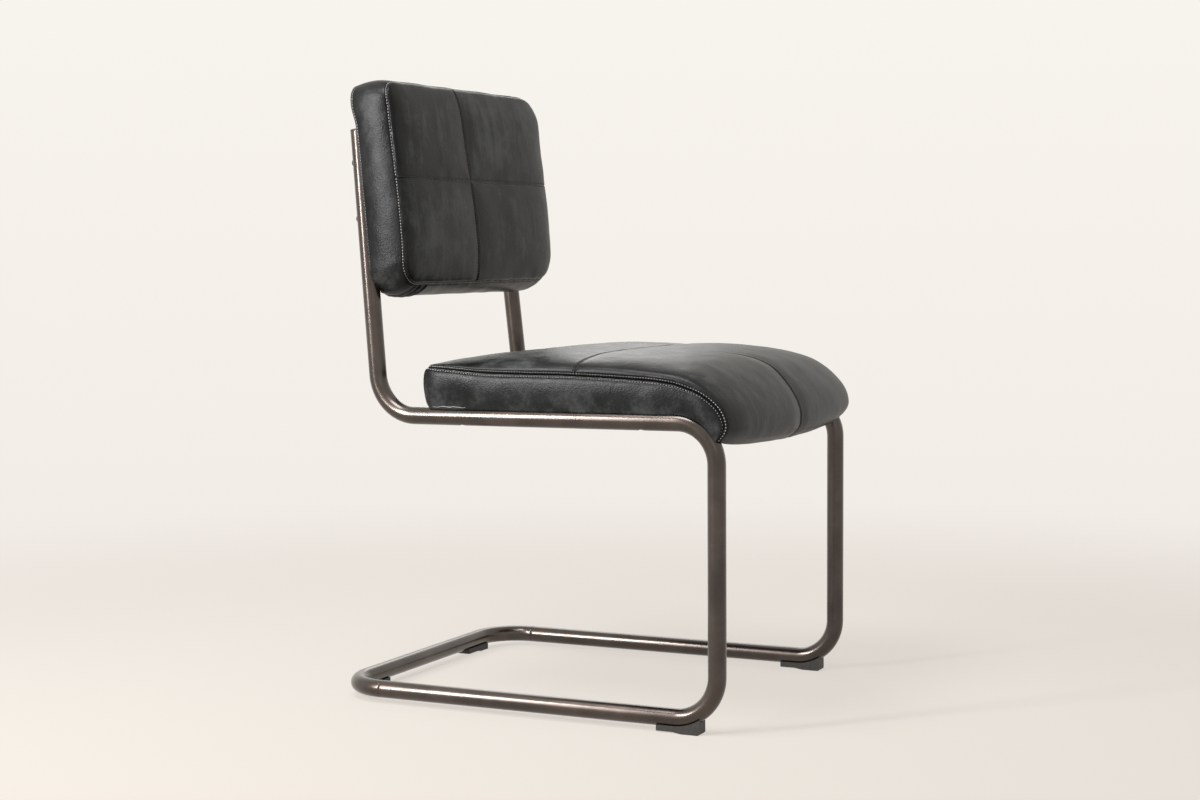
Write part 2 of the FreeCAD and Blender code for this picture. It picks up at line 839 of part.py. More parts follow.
def make_seat_board():
    """The bent plywood seat: flat on the rails, rolled over their front bend, narrower at the
    rear, with a recess for each tee nut."""
    body = new_body("seat_board")
    profile = sketch_on(body, "YZ_Plane", "profile")
    angle = math.radians(size("board_wrap_angle"))
    draw_outline(profile, bent_sheet_profile(BOARD_BOTTOM, BOARD_TOP, FOAM_REAR, angle))
    pad(body, profile, 1, f"2 * {cell('leg_half_span')} + 4 * {cell('seat_overlap')}", True)
    taper_sides(body, LEATHER + GAP, "taper")
    centres = [(p.x, p.y) for p in seat_bolt_places(-1) + seat_bolt_places(1)]
    seat_tee_nuts_in(body, "XY_Plane", centres, stack_of(BOARD_BOTTOM) - GAP)
    body.Placement = SEAT_PLACE


def make_seat_lining():
    """The black cloth stapled under the seat board."""
    body = new_body("seat_lining")
    profile = sketch_on(body, "YZ_Plane", "profile")
    angle = math.radians(size("board_wrap_angle"))
    low = GAP
    high = GAP + size("lining_thickness")
    draw_outline(profile, bent_sheet_profile(low, high, FOAM_REAR, angle))
    pad(body, profile, 1, f"2 * {cell('leg_half_span')} + 4 * {cell('seat_overlap')}", True)
    taper_sides(body, LEATHER + GAP, "taper")
    holes = sketch_on(body, "XY_Plane", "bolt_holes")
    centres = [(p.x, p.y) for p in seat_bolt_places(-1) + seat_bolt_places(1)]
    draw_holes(holes, centres, "bolt_diameter", "fit_gap")
    pocket_through(body, holes)
    body.Placement = SEAT_PLACE


def seat_stations():
    """The cushion's cross sections from rear to front, each a function that turns (x, height
    over the rail) into a point, with its half width, side height and crown."""
    stations = []
    for share, side_share, crown_share in SEAT_FLAT + SEAT_FORE:
        run = share * COVER_REAR
        stations.append(flat_station(run, side_share, crown_share))
        if len(stations) == len(SEAT_FLAT):
            stations.append(flat_station(size("seat_seam_run"), 1.0, seam_share()))
    for degrees, side_share, crown_share in SEAT_ROLL:
        stations.append(roll_station(math.radians(degrees), side_share, crown_share))
    return stations


def seam_share():
    """The crown's share at the cross seam, which lies a little lower than its panels."""
    return 1 - size("seat_seam_depth") / size("seat_crown")


def flat_station(run, side_share, crown_share):
    """A cross section over the straight rail."""
    side, crown = seat_heights(side_share, crown_share)
    return (lambda x, height: Vector(x, run, height)), seat_half_width(run), side, crown


def roll_station(angle, side_share, crown_share):
    """A cross section over the front bend."""
    side, crown = seat_heights(side_share, crown_share)
    return (lambda x, height: roll_point(angle, x, height)), seat_half_width(0), side, crown


def bowed_edge(place, start, end, bow):
    """An arc between two (x, height) points of a section, bowed to the left of the way from
    start to end."""
    run_x = end[0] - start[0]
    run_h = end[1] - start[1]
    length = math.hypot(run_x, run_h)
    middle = (
        (start[0] + end[0]) / 2 - bow * run_h / length,
        (start[1] + end[1]) / 2 + bow * run_x / length,
    )
    return Part.Arc(place(*start), place(*middle), place(*end)).toShape()


def straight_edge(place, start, end):
    """A line between two (x, height) points of a section."""
    return Part.LineSegment(place(*start), place(*end)).toShape()


def crown_edges(station, side, inset, from_x):
    """Half of a section's top, from near the centre seam over the panel's crest and shoulder
    to the side seam, moved inwards by inset. Returns the edges and their two ends."""
    place, half_width, side_height, crown = station
    crest_lift = size("seat_seam_depth") * crown / size("seat_crown")
    drop = max(crown - side_height, 1.0)
    centre = (side * from_x, crown - crest_lift - inset)
    crest = (side * half_width * PANEL_CREST, crown - inset)
    shoulder = (
        side * (half_width * SHOULDER - inset * 0.7),
        side_height + drop * SHOULDER_RISE - inset * 0.8,
    )
    seam = (side * (half_width - inset), side_height - inset)
    return (
        [
            bowed_edge(place, centre, crest, side * crest_lift * 0.4),
            bowed_edge(place, crest, shoulder, side * drop * 0.07),
            bowed_edge(place, shoulder, seam, side * drop * 0.07),
        ],
        centre,
        seam,
    )


def top_panel_section(station, side):
    """The cut through one half of the top leather at a station."""
    place = station[0]
    outer, outer_centre, outer_seam = crown_edges(station, side, 0.0, GAP / 2)
    inner, inner_centre, inner_seam = crown_edges(station, side, LEATHER, GAP / 2)
    return Part.Wire(
        outer
        + [straight_edge(place, outer_seam, inner_seam)]
        + inner[::-1]
        + [straight_edge(place, inner_centre, outer_centre)]
    )


def side_band_section(station, side):
    """The cut through the leather band beside the cushion at a station."""
    place, half_width, side_height = station[:3]
    top = max(side_height - LEATHER - GAP, 2.5 * GAP)
    low = GAP
    bow = size("seat_side_bulge") * min(1.0, top / size("seat_side_height"))
    outer_low = (side * half_width, low)
    outer_top = (side * half_width, top)
    inner_low = (side * (half_width - LEATHER), low)
    inner_top = (side * (half_width - LEATHER), top)
    return Part.Wire(
        [
            bowed_edge(place, outer_low, outer_top, -side * bow),
            straight_edge(place, outer_top, inner_top),
            bowed_edge(place, inner_top, inner_low, side * bow),
            straight_edge(place, inner_low, outer_low),
        ]
    )


def foam_section(station):
    """The cut through the cushion's filling at a station, from just over the rail."""
    place, half_width = station[:2]
    inset = LEATHER + GAP
    right, _, right_seam = crown_edges(station, 1, inset, 0.0)
    left, _, left_seam = crown_edges(station, -1, inset, 0.0)
    low = 1.5 * GAP
    right_low = (half_width - inset, low)
    left_low = (inset - half_width, low)
    return Part.Wire(
        [straight_edge(place, left_low, right_low)]
        + [straight_edge(place, right_low, right_seam)]
        + right[::-1]
        + left
        + [straight_edge(place, left_seam, left_low)]
    )


def loft(sections):
    """A closed solid with straight runs from each section to the next."""
    return Part.makeLoft(sections, True, True)


def make_seat_covers():
    """The four leather panels sewn together on top of the seat, with a hair's gap along the
    seams between them."""
    stations = seat_stations()
    seam = len(SEAT_FLAT)
    half_gap = GAP / 2
    run = size("seat_seam_run")
    behind = flat_station(run + half_gap, 1.0, seam_share())
    before = flat_station(run - half_gap, 1.0, seam_share())
    rear = stations[:seam] + [behind]
    fore = [before] + stations[seam + 1 :]
    for side, word in ((-1, "right"), (1, "left")):
        for part, name in ((rear, "rear"), (fore, "front")):
            sections = [top_panel_section(station, side) for station in part]
            feature(f"seat_cover_{name}_{word}", loft(sections), SEAT_PLACE)


def make_seat_bands():
    """The leather band round the seat: two long sides and the rear."""
    stations = [s for s in seat_stations() if s[2] > LOWEST_SIDE * size("seat_side_height")]
    for side, word in ((-1, "right"), (1, "left")):
        sections = [side_band_section(station, side) for station in stations]
        feature(f"seat_band_{word}", loft(sections), SEAT_PLACE)
    rear_half = seat_half_width(COVER_REAR) - LEATHER - GAP
    height = SEAT_FLAT[0][1] * size("seat_side_height") - LEATHER - 2 * GAP
    body = new_body("seat_band_rear")
    outline = sketch_on(body, "XZ_Plane", "outline", -COVER_REAR)
    draw_outline(
        outline,
        polygon(
            [
                Vector(-rear_half, GAP, 0),
                Vector(rear_half, GAP, 0),
                Vector(rear_half, height, 0),
                Vector(-rear_half, height, 0),
            ]
        ),
    )
    pad(body, outline, LEATHER, cell("leather_thickness"))
    body.Placement = SEAT_PLACE


def make_seat_foam():
    """The moulded filling: it fills the leather, lies on the board and wraps its front edge."""
    stations = seat_stations()
    used = [flat_station(FOAM_REAR, *SEAT_FLAT[0][1:])]
    used += [s for s in stations[1:] if s[2] > LOWEST_SIDE * size("seat_side_height")]
    filling = loft([foam_section(station) for station in used])
    angle = math.radians(size("board_wrap_angle")) + GAP / ROLL_RADIUS
    edges = bent_sheet_profile(-TUBE_R, BOARD_TOP + GAP, COVER_REAR + TUBE_R, angle)
    outline = [edge.toShape() for edge in edges]
    face = Part.Face(Part.Wire(outline))
    face.Placement = Placement(
        Vector(-size("seat_rail_run"), 0, 0), Rotation(Vector(1, 1, 1), 120)
    )
    void = face.extrude(Vector(2 * size("seat_rail_run"), 0, 0))
    feature("seat_foam", filling.cut(void), SEAT_PLACE)


def seat_bolt_depth():
    """How far under the rail's top a seat bolt's head bears, where it meets the bore's round
    on both sides."""
    return TUBE_R - math.sqrt(BORE_R**2 - (size("bolt_head_diameter") / 2) ** 2) + GAP


def make_seat_fasteners():
    """The bolts that rise from inside the rails and the tee nuts in the board."""
    places = seat_bolt_places(-1) + seat_bolt_places(1)
    length = seat_bolt_depth() + BOARD_TOP - size("tee_flange_thickness")
    bolts = []
    nuts = []
    for place in places:
        under = Placement(place - Vector(0, 0, seat_bolt_depth()), Rotation())
        bolts.append(moved(moved(socket_bolt(length), under), SEAT_PLACE))
        rest = Placement(place + Vector(0, 0, stack_of(BOARD_BOTTOM)), Rotation())
        nuts.append(moved(moved(tee_nut(), rest), SEAT_PLACE))
    group("seat_bolts", bolts)
    group("seat_tee_nuts", nuts)


# Back

PANEL_FACE = TUBE_R + GAP
BACK_BOARD_NEAR = PANEL_FACE + LEATHER + GAP
BACK_BOARD_FAR = BACK_BOARD_NEAR + size("board_thickness")


def rounded_outline(half_width, low, high, corner):
    """The lines and quarter arcs of a rectangle with round corners, x across and y up."""
    turn = corner * (1 - math.sqrt(0.5))
    left = -half_width
    right = half_width
    return [
        Part.LineSegment(Vector(left + corner, low, 0), Vector(right - corner, low, 0)),
        Part.Arc(
            Vector(right - corner, low, 0),
            Vector(right - turn, low + turn, 0),
            Vector(right, low + corner, 0),
        ),
        Part.LineSegment(Vector(right, low + corner, 0), Vector(right, high - corner, 0)),
        Part.Arc(
            Vector(right, high - corner, 0),
            Vector(right - turn, high - turn, 0),
            Vector(right - corner, high, 0),
        ),
        Part.LineSegment(Vector(right - corner, high, 0), Vector(left + corner, high, 0)),
        Part.Arc(
            Vector(left + corner, high, 0),
            Vector(left + turn, high - turn, 0),
            Vector(left, high - corner, 0),
        ),
        Part.LineSegment(Vector(left, high - corner, 0), Vector(left, low + corner, 0)),
        Part.Arc(
            Vector(left, low + corner, 0),
            Vector(left + turn, low + turn, 0),
            Vector(left + corner, low, 0),
        ),
    ]


# Turns a sketch-like outline (x across, y up) to stand in the back frame, facing forward.
STAND_UP = Rotation(Vector(1, 0, 0), 90)


def back_ring(depth, inset, sag, lift=0.0):
    """A rounded rectangle across the back cushion at that depth before the uprights' front,
    drawn in by inset; sag lowers its bottom edge and lift raises its top edge."""
    outline = rounded_outline(
        size("back_half_width") - inset,
        size("back_low") + inset - sag,
        size("back_high") - inset + lift,
        size("back_corner") - min(inset, size("back_corner") / 3),
    )
    wire = Part.Wire([edge.toShape() for edge in outline])
    wire.Placement = Placement(Vector(0, -TUBE_R - depth, 0), STAND_UP)
    return wire


def back_band_rings(inset, overshoot):
    """The rings of the band round the back: drawn in at the rear and at the front seam,
    swelling and sagging between them."""
    bulge = size("back_bulge")
    lift = size("back_top_bulge") - bulge
    sag = size("back_low_sag")
    depth = size("back_depth")
    rear = back_ring(GAP - overshoot, bulge + inset, sag * REAR_SAG, lift)
    middle = back_ring(depth * SWELL_PLACE, inset - bulge, sag, lift)
    front = back_ring(depth + overshoot, inset, 0.0)
    return [rear, middle, front]


def back_crown_rings(inset, start):
    """The rings of the crowned front, from the seam to the crest."""
    rings = [back_ring(start, inset, 0.0)]
    for share, drawn_in in BACK_CROWN_RINGS:
        depth = size("back_depth") + size("back_crown") * share
        rings.append(back_ring(depth - inset, drawn_in + inset, 0.0))
    return rings


def make_back_band():
    """The leather band round the back cushion."""
    outer = loft(back_band_rings(0.0, 0.0))
    inner = loft(back_band_rings(LEATHER, LEATHER))
    feature("back_band", outer.cut(inner), BACK_PLACE)


def make_back_covers():
    """The four leather panels sewn together on the back's crowned front."""
    depth = size("back_depth")
    outer = loft(back_crown_rings(0.0, depth + GAP))
    inner = loft(back_crown_rings(LEATHER, depth - LEATHER))
    skin = outer.cut(inner)
    across = size("back_seam_aside")
    level = size("back_seam_height")
    reach = 2 * size("back_half_width")
    half_gap = GAP / 2
    for side, word in ((-1, "right"), (1, "left")):
        for rise, name in ((-1, "lower"), (1, "upper")):
            x = across + half_gap if side > 0 else across - half_gap - reach
            z = level + half_gap if rise > 0 else level - half_gap - reach
            quarter = Part.makeBox(reach, reach, reach, Vector(x, -reach, z))
            feature(f"back_cover_{name}_{word}", skin.common(quarter), BACK_PLACE)


def make_back_foam():
    """The filling between the back board and the leather."""
    inset = LEATHER + GAP
    near = BACK_BOARD_FAR + GAP - TUBE_R
    depth = size("back_depth")
    drawn_in = inset + size("back_bulge") * FOAM_DRAW_IN
    sag = size("back_low_sag")
    rings = [
        back_ring(near, drawn_in, sag * FOAM_SAG_REAR),
        back_ring((near + depth) / 2, inset, sag * FOAM_SAG_MIDDLE * (1 - near / depth)),
    ]
    rings += back_crown_rings(inset, depth - inset)
    feature("back_foam", loft(rings), BACK_PLACE)


def make_back_board():
    """The flat plywood panel that carries the back, drilled for its tee nuts."""
    body = new_body("back_board")
    margin = size("back_board_margin")
    outline = sketch_on(body, "XZ_Plane", "outline", BACK_BOARD_NEAR)
    draw_outline(
        outline,
        rounded_outline(
            size("back_half_width") - margin / 2,
            size("back_low") + margin / 2,
            size("back_high") - margin,
            size("back_corner") - margin / 2,
        ),
    )
    pad(body, outline, size("board_thickness"), cell("board_thickness"))
    centres = [(p.x, p.z) for p in back_bolt_places(-1) + back_bolt_places(1)]
    seat_tee_nuts_in(body, "XZ_Plane", centres, stack_of(BACK_BOARD_NEAR) - GAP)
    body.Placement = BACK_PLACE


def make_back_rear_panel():
    """The leather that closes the back behind the board and bears on the uprights."""
    body = new_body("back_rear_panel")
    inset = size("back_bulge") + LEATHER + 2 * GAP
    outline = sketch_on(body, "XZ_Plane", "outline", PANEL_FACE)
    draw_outline(
        outline,
        rounded_outline(
            size("back_half_width") - inset,
            size("back_low") + inset - size("back_low_sag") * REAR_SAG,
            size("back_high") - inset,
            size("back_corner") - inset,
        ),
    )
    pad(body, outline, LEATHER, cell("leather_thickness"))
    holes = sketch_on(body, "XZ_Plane", "bolt_holes")
    centres = [(p.x, p.z) for p in back_bolt_places(-1) + back_bolt_places(1)]
    draw_holes(holes, centres, "bolt_diameter", "fit_gap")
    pocket_through(body, holes)
    body.Placement = BACK_PLACE


def make_back_fasteners():
    """The bolts that pass forward through the uprights and the tee nuts in the board."""
    seat_y = TUBE_R - size("dent_depth") + GAP
    length = seat_y + BACK_BOARD_FAR - size("tee_flange_thickness")
    turn = Rotation(Vector(1, 0, 0), 90)
    bolts = []
    nuts = []
    for place in back_bolt_places(-1) + back_bolt_places(1):
        behind = Placement(place + Vector(0, seat_y, 0), turn)
        bolts.append(moved(moved(socket_bolt(length), behind), BACK_PLACE))
        rest = Placement(place + Vector(0, -stack_of(BACK_BOARD_NEAR), 0), turn)
        nuts.append(moved(moved(tee_nut(), rest), BACK_PLACE))
    group("back_bolts", bolts)
    group("back_tee_nuts", nuts)


# Assembly

for hand, word in ((-1, "right"), (1, "left")):
    make_side_tube(f"side_tube_{word}", hand)
    make_joint_spigot(f"joint_spigot_{word}", hand)
    make_upright_cap(f"upright_cap_{word}", hand)
    make_front_glide(f"front_glide_{word}", hand)
    make_rear_glide(f"rear_glide_{word}", hand)
make_rear_floor_tube()
group("front_glide_screws", [tapping_screw(front_screw_place(s)) for s in (-1, 1)])
group("rear_glide_screws", [tapping_screw(rear_screw_place(s)) for s in (-1, 1)])
make_seat_board()
make_seat_lining()
make_seat_covers()
make_seat_bands()
make_seat_foam()
make_seat_fasteners()
make_back_board()
make_back_rear_panel()
make_back_band()
make_back_covers()
make_back_foam()
make_back_fasteners()

doc.recompute()
faults = []
for item in doc.Objects:
    if "Invalid" in item.State or "Error" in item.State:
        faults.append(f"{item.Label}: {item.State}")
for item in SUBPARTS:
    if item.Shape.isNull() or not item.Shape.isValid() or not item.Shape.Solids:
        faults.append(f"{item.Label}: no valid solid")
if faults:
    raise RuntimeError("; ".join(faults))

os.makedirs("parts", exist_ok=True)
whole = FreeCAD.BoundBox()
for item in SUBPARTS:
    item.Shape.exportStep(os.path.join("parts", f"{item.Label}.step"))
    whole.add(item.Shape.BoundBox)
    volume = sum(solid.Volume for solid in item.Shape.Solids)
    print(f"{item.Label}: {len(item.Shape.Solids)} solid(s), {volume / 1000:.2f} cm3")
print(f"{len(SUBPARTS)} sub-parts, low {whole.XMin:.1f} {whole.YMin:.1f} {whole.ZMin:.1f}")
print(f"high {whole.XMax:.1f} {whole.YMax:.1f} {whole.ZMax:.1f}")
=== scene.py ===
import logging
import math
from dataclasses import dataclass
from enum import Enum
from functools import partial
from typing import Callable, Sequence

import bmesh
import bpy
import numpy as np
from mathutils import Matrix, Vector


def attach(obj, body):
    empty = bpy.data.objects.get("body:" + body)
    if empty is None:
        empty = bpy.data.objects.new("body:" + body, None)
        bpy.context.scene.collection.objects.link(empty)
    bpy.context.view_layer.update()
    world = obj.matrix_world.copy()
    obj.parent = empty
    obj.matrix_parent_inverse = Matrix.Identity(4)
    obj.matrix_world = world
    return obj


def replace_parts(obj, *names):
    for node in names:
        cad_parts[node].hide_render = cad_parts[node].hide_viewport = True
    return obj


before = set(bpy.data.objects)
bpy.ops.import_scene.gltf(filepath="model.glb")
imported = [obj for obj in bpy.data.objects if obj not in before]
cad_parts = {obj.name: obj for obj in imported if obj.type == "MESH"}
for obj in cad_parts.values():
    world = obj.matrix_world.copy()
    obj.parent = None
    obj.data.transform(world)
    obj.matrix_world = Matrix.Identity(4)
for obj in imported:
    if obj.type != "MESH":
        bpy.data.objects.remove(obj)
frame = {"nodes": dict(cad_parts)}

# The looks of a cantilever chair of bent steel tube with a leather seat and back. Sizes are in
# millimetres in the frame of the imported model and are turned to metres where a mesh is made.

LOG = logging.getLogger("cantilever_chair")
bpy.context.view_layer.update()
MM = 0.001
# Places with the value or the sRGB colour at each.
Stations = tuple[tuple[float, float | str], ...]
Point = tuple[float, float, float]


# Numbers and curves


def linear(hex_colour: str) -> tuple[float, float, float, float]:
    """Turns an sRGB colour such as "#3a3a3a" into linear red, green, blue and alpha.

    Args:
        hex_colour: the colour as six hexadecimal digits after a hash.
    Returns:
        The linear colour with an alpha of one.
    """
    parts = [int(hex_colour[k : k + 2], 16) / 255 for k in (1, 3, 5)]
    tones = [c / 12.92 if c <= 0.04045 else ((c + 0.055) / 1.055) ** 2.4 for c in parts]
    return (*tones, 1.0)


def smooth(x: np.ndarray) -> np.ndarray:
    """The smooth step 3x2 - 2x3, level at 0 below nought and at 1 above one."""
    x = np.clip(x, 0.0, 1.0)
    return x * x * (3.0 - 2.0 * x)


def bell(distance: np.ndarray, reach: float) -> np.ndarray:
    """The bell exp(-(d / reach) ** 2), one at a line and gone a few reaches off."""
    return np.exp(-((distance / reach) ** 2))


def curve_through(knots: Stations, at: np.ndarray) -> np.ndarray:
    """A smooth curve through measured stations.

    Each interval is a cubic Hermite piece whose end slopes are the mean of the slopes on the
    two sides, which is a Catmull-Rom curve for uneven spacing.

    Args:
        knots: (place, value) pairs in rising order of place.
        at: the places to read, clipped to the ends.
    Returns:
        The values there.
    """
    x, y = np.array(knots, float).T
    slope = np.diff(y) / np.diff(x)
    tangent = np.concatenate([slope[:1], (slope[1:] + slope[:-1]) / 2, slope[-1:]])
    at = np.clip(at, x[0], x[-1])
    k = np.clip(np.searchsorted(x, at) - 1, 0, len(x) - 2)
    step = x[k + 1] - x[k]
    u = (at - x[k]) / step
    rise = y[k + 1] - y[k]
    return (
        y[k]
        + step * tangent[k] * (u - 2 * u**2 + u**3)
        + rise * (3 * u**2 - 2 * u**3)
        + step * tangent[k + 1] * (u**3 - u**2)
    )


def pillow(distance: np.ndarray, reach: float, power: float) -> np.ndarray:
    """How full stuffed leather stands off its seam: (1 - (1 - d / reach) ** 3) ** power."""
    share = np.clip(distance / reach, 0.0, 1.0)
    return (1.0 - (1.0 - share) ** 3) ** power


def noise(points: np.ndarray, grain: float, seed: int) -> np.ndarray:
    """Smooth seeded noise between -1 and 1 over points in space.

    Each cell corner of a lattice gets a hashed value, and a point blends its eight corners by
    the smooth step.

    Args:
        points: (..., 3) places in millimetres.
        grain: the side of a cell in millimetres.
        seed: picks the pattern.
    Returns:
        One value for each point.
    """
    place = points / grain
    base = np.floor(place).astype(np.int64)
    part = smooth(place - base)
    total = np.zeros(points.shape[:-1])
    for corner in range(8):
        bits = np.array([corner & 1, corner >> 1 & 1, corner >> 2 & 1])
        cell = base + bits
        key = cell[..., 0] * 73856093 ^ cell[..., 1] * 19349663 ^ cell[..., 2] * 83492791
        key = (key ^ seed * 2654435761) & 0xFFFFFFFF
        key = (key * 1103515245 + 12345) & 0x7FFFFFFF
        key = (key ^ key >> 15) * 668265263 & 0x7FFFFFFF
        weight = np.prod(np.where(bits == 1, part, 1.0 - part), axis=-1)
        total += weight * (key / 0x3FFFFFFF - 1.0)
    return total


def unit(vectors: np.ndarray) -> np.ndarray:
    """The vectors scaled to a length of one."""
    length = np.linalg.norm(vectors, axis=-1, keepdims=True)
    return vectors / np.maximum(length, 1e-12)


def read_rows(grid: np.ndarray, where: np.ndarray) -> np.ndarray:
    """Reads a grid's rows at fractional indices with a Catmull-Rom curve through its rows.

    Args:
        grid: (rows, ...) values.
        where: fractional row indices.
    Returns:
        (len(where), ...) values.
    """
    last = len(grid) - 1
    k = np.clip(np.floor(where).astype(int), 0, last - 1)
    u = (where - k).reshape(-1, *[1] * (grid.ndim - 1))
    a, b = grid[k], grid[k + 1]
    before = np.where((k == 0).reshape(u.shape), 2 * a - b, grid[np.maximum(k - 1, 0)])
    after = np.where((k == last - 1).reshape(u.shape), 2 * b - a, grid[np.minimum(k + 2, last)])
    return a + 0.5 * u * (
        b - before + u * (2 * before - 5 * a + 4 * b - after + u * (3 * (a - b) + after - before))
    )


def even_rows(grid: np.ndarray, count: int) -> np.ndarray:
    """Spreads a grid's rows evenly along every column's own length.

    The first three channels are the place. Each column is read at equal steps of the length
    that it has run, and its other channels go with it.

    Args:
        grid: (rows, columns, channels) values.
        count: the rows wanted.
    Returns:
        (count, columns, channels) values.
    """
    steps = np.linalg.norm(np.diff(grid[..., :3], axis=0), axis=-1)
    run = np.concatenate([np.zeros((1, grid.shape[1])), np.cumsum(steps, axis=0)])
    run /= run[-1]
    wanted = np.linspace(0, 1, count)
    out = np.empty((count, *grid.shape[1:]))
    for column in range(grid.shape[1]):
        for channel in range(grid.shape[2]):
            out[:, column, channel] = np.interp(wanted, run[:, column], grid[:, column, channel])
    return out


def even_columns(grid: np.ndarray, count: int) -> np.ndarray:
    """Spreads a grid's columns evenly along every row's own length, as even_rows does."""
    return even_rows(grid.swapaxes(0, 1), count).swapaxes(0, 1)


# Meshes


def link_object(name: str, data: bpy.types.ID) -> bpy.types.Object:
    """Adds an object to the scene.

    Args:
        name: its name.
        data: its mesh, lamp or camera.
    Returns:
        The object, at the origin.
    """
    made = bpy.data.objects.new(name, data)
    bpy.context.scene.collection.objects.link(made)
    return made


def face_outwards(data: bpy.types.Mesh, join: float = 0.0) -> None:
    """Turns the faces of a closed mesh outwards.

    Args:
        data: the mesh.
        join: how near two points are to be made one first, in metres, or 0 for none.
    """
    skin = bmesh.new()
    skin.from_mesh(data)
    if join:
        bmesh.ops.remove_doubles(skin, verts=skin.verts, dist=join)
    bmesh.ops.recalc_face_normals(skin, faces=skin.faces)
    skin.to_mesh(data)
    skin.free()
    data.update()


def closed_mesh(name: str, points: np.ndarray, faces: np.ndarray) -> bpy.types.Mesh:
    """Makes a smooth-shaded closed mesh whose faces all look outwards.

    Args:
        name: the mesh's name.
        points: (n, 3) places in millimetres.
        faces: (m, 4) point indices, where a triangle has one of them twice.
    Returns:
        The mesh.
    """
    data = bpy.data.meshes.new(name)
    data.from_pydata((points * MM).tolist(), [], tidy_faces(faces))
    data.polygons.foreach_set("use_smooth", np.full(len(data.polygons), True))
    face_outwards(data)
    return data


def chair_piece(
    data: bpy.types.Mesh, material: bpy.types.Material
) -> bpy.types.Object:
    """Makes one piece of the chair from a mesh.

    Args:
        data: the mesh, whose name the piece takes.
        material: what it is made of.
    Returns:
        The object, riding on the chair's one body.
    """
    data.materials.append(material)
    piece = link_object(data.name, data)
    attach(piece, "root")
    LOG.info("%s: %d points, %d faces", data.name, len(data.vertices), len(data.polygons))
    return piece


def point_normals(data: bpy.types.Mesh) -> np.ndarray:
    """Reads the outward normals at a mesh's points.

    Args:
        data: the mesh.
    Returns:
        (n, 3) directions.
    """
    normals = np.empty(len(data.vertices) * 3)
    data.vertex_normals.foreach_get("vector", normals)
    return normals.reshape(-1, 3)


def grid_faces(rows: int, columns: int, ring: bool = False, start: int = 0) -> np.ndarray:
    """Lists the quads of a grid of points.

    Args:
        rows: the points along its first side.
        columns: the points along its second side.
        ring: whether the last column joins up with the first.
        start: the index of its first point.
    Returns:
        (m, 4) point indices.
    """
    across = np.arange(columns if ring else columns - 1)
    r, c = np.meshgrid(np.arange(rows - 1) * columns, across, indexing="ij")
    onward = (c + 1) % columns
    quads = [r + c, r + onward, r + columns + onward, r + columns + c]
    return np.stack(quads, axis=-1).reshape(-1, 4) + start


def all_faces(grids: Sequence[np.ndarray]) -> np.ndarray:
    """Lists the quads of several grids whose points follow one another in one list.

    Args:
        grids: the grids of places.
    Returns:
        (m, 4) point indices.
    """
    starts = np.cumsum([0] + [grid[..., 0].size for grid in grids])
    pairs = zip(grids, starts)
    return np.concatenate([grid_faces(*grid.shape[:2], start=start) for grid, start in pairs])


def split_up(values: np.ndarray, grids: Sequence[np.ndarray]) -> list[np.ndarray]:
    """Shares out one value for each point of several grids again.

    Args:
        values: (n, ...) values in the order of the grids' points.
        grids: the grids of places.
    Returns:
        One (rows, columns, ...) array for each grid.
    """
    ends = np.cumsum([grid[..., 0].size for grid in grids])[:-1]
    parts = zip(np.split(values, ends), grids)
    return [part.reshape(*grid.shape[:2], *values.shape[1:]) for part, grid in parts]


def weld(points: np.ndarray, faces: np.ndarray) -> tuple[np.ndarray, np.ndarray, np.ndarray]:
    """Joins points that lie within a hundredth of a millimetre of each other.

    Args:
        points: (n, 3) places in millimetres.
        faces: (m, 4) point indices.
    Returns:
        The first point of each group, the faces without those that have collapsed, and for
        each old point its group.
    """
    key = np.round(points / 0.02 + 0.137).astype(np.int64)
    _, first, group = np.unique(key, axis=0, return_index=True, return_inverse=True)
    group = group.reshape(-1)
    welded = group[faces]
    ordered = np.sort(welded, axis=1)
    doubles = (np.diff(ordered, axis=1) == 0).sum(axis=1)
    return first, welded[doubles <= 1], group


def tidy_faces(faces: np.ndarray) -> list[list[int]]:
    """Turns quads with a doubled point into triangles.

    Args:
        faces: (m, 4) point indices.
    Returns:
        The faces' points, three or four for each.
    """
    doubled = (faces == np.roll(faces, -1, axis=1)).any(axis=1)
    plain = faces.tolist()
    for index in np.nonzero(doubled)[0]:
        plain[index] = list(dict.fromkeys(plain[index]))
    return plain


# Materials


def add_node(
    tree: bpy.types.NodeTree, kind: str, settings: dict | None = None, **links: object
) -> bpy.types.Node:
    """Adds a node, sets its properties and fills its inputs.

    Args:
        tree: the node tree.
        kind: the node's type after its ShaderNode, such as TexNoise.
        settings: node properties, or a ramp's (place, hex colour) stops under "stops".
        links: inputs by name with spaces as underscores, or in_N for the Nth input. A socket
            is linked and anything else is set as the input's value.
    Returns:
        The node.
    """
    node = tree.nodes.new("ShaderNode" + kind)
    for key, value in (settings or {}).items():
        if key == "stops":
            stops = node.color_ramp.elements
            while len(stops) < len(value):
                stops.new(0.5)
            for stop, (place, tone) in zip(stops, value):
                stop.position, stop.color = place, linear(tone)
        else:
            setattr(node, key, value)
    for key, value in links.items():
        name = key.replace("_", " ")
        socket = node.inputs[int(key[3:])] if key.startswith("in_") else node.inputs[name]
        if isinstance(value, bpy.types.NodeSocket):
            tree.links.new(value, socket)
        else:
            socket.default_value = value
    return node


def new_material(name: str) -> tuple[bpy.types.Material, bpy.types.NodeTree]:
    """Makes an empty node material.

    Args:
        name: its name.
    Returns:
        The material and its tree.
    """
    material = bpy.data.materials.new(name)
    material.use_nodes = True
    material.node_tree.nodes.clear()
    return material, material.node_tree


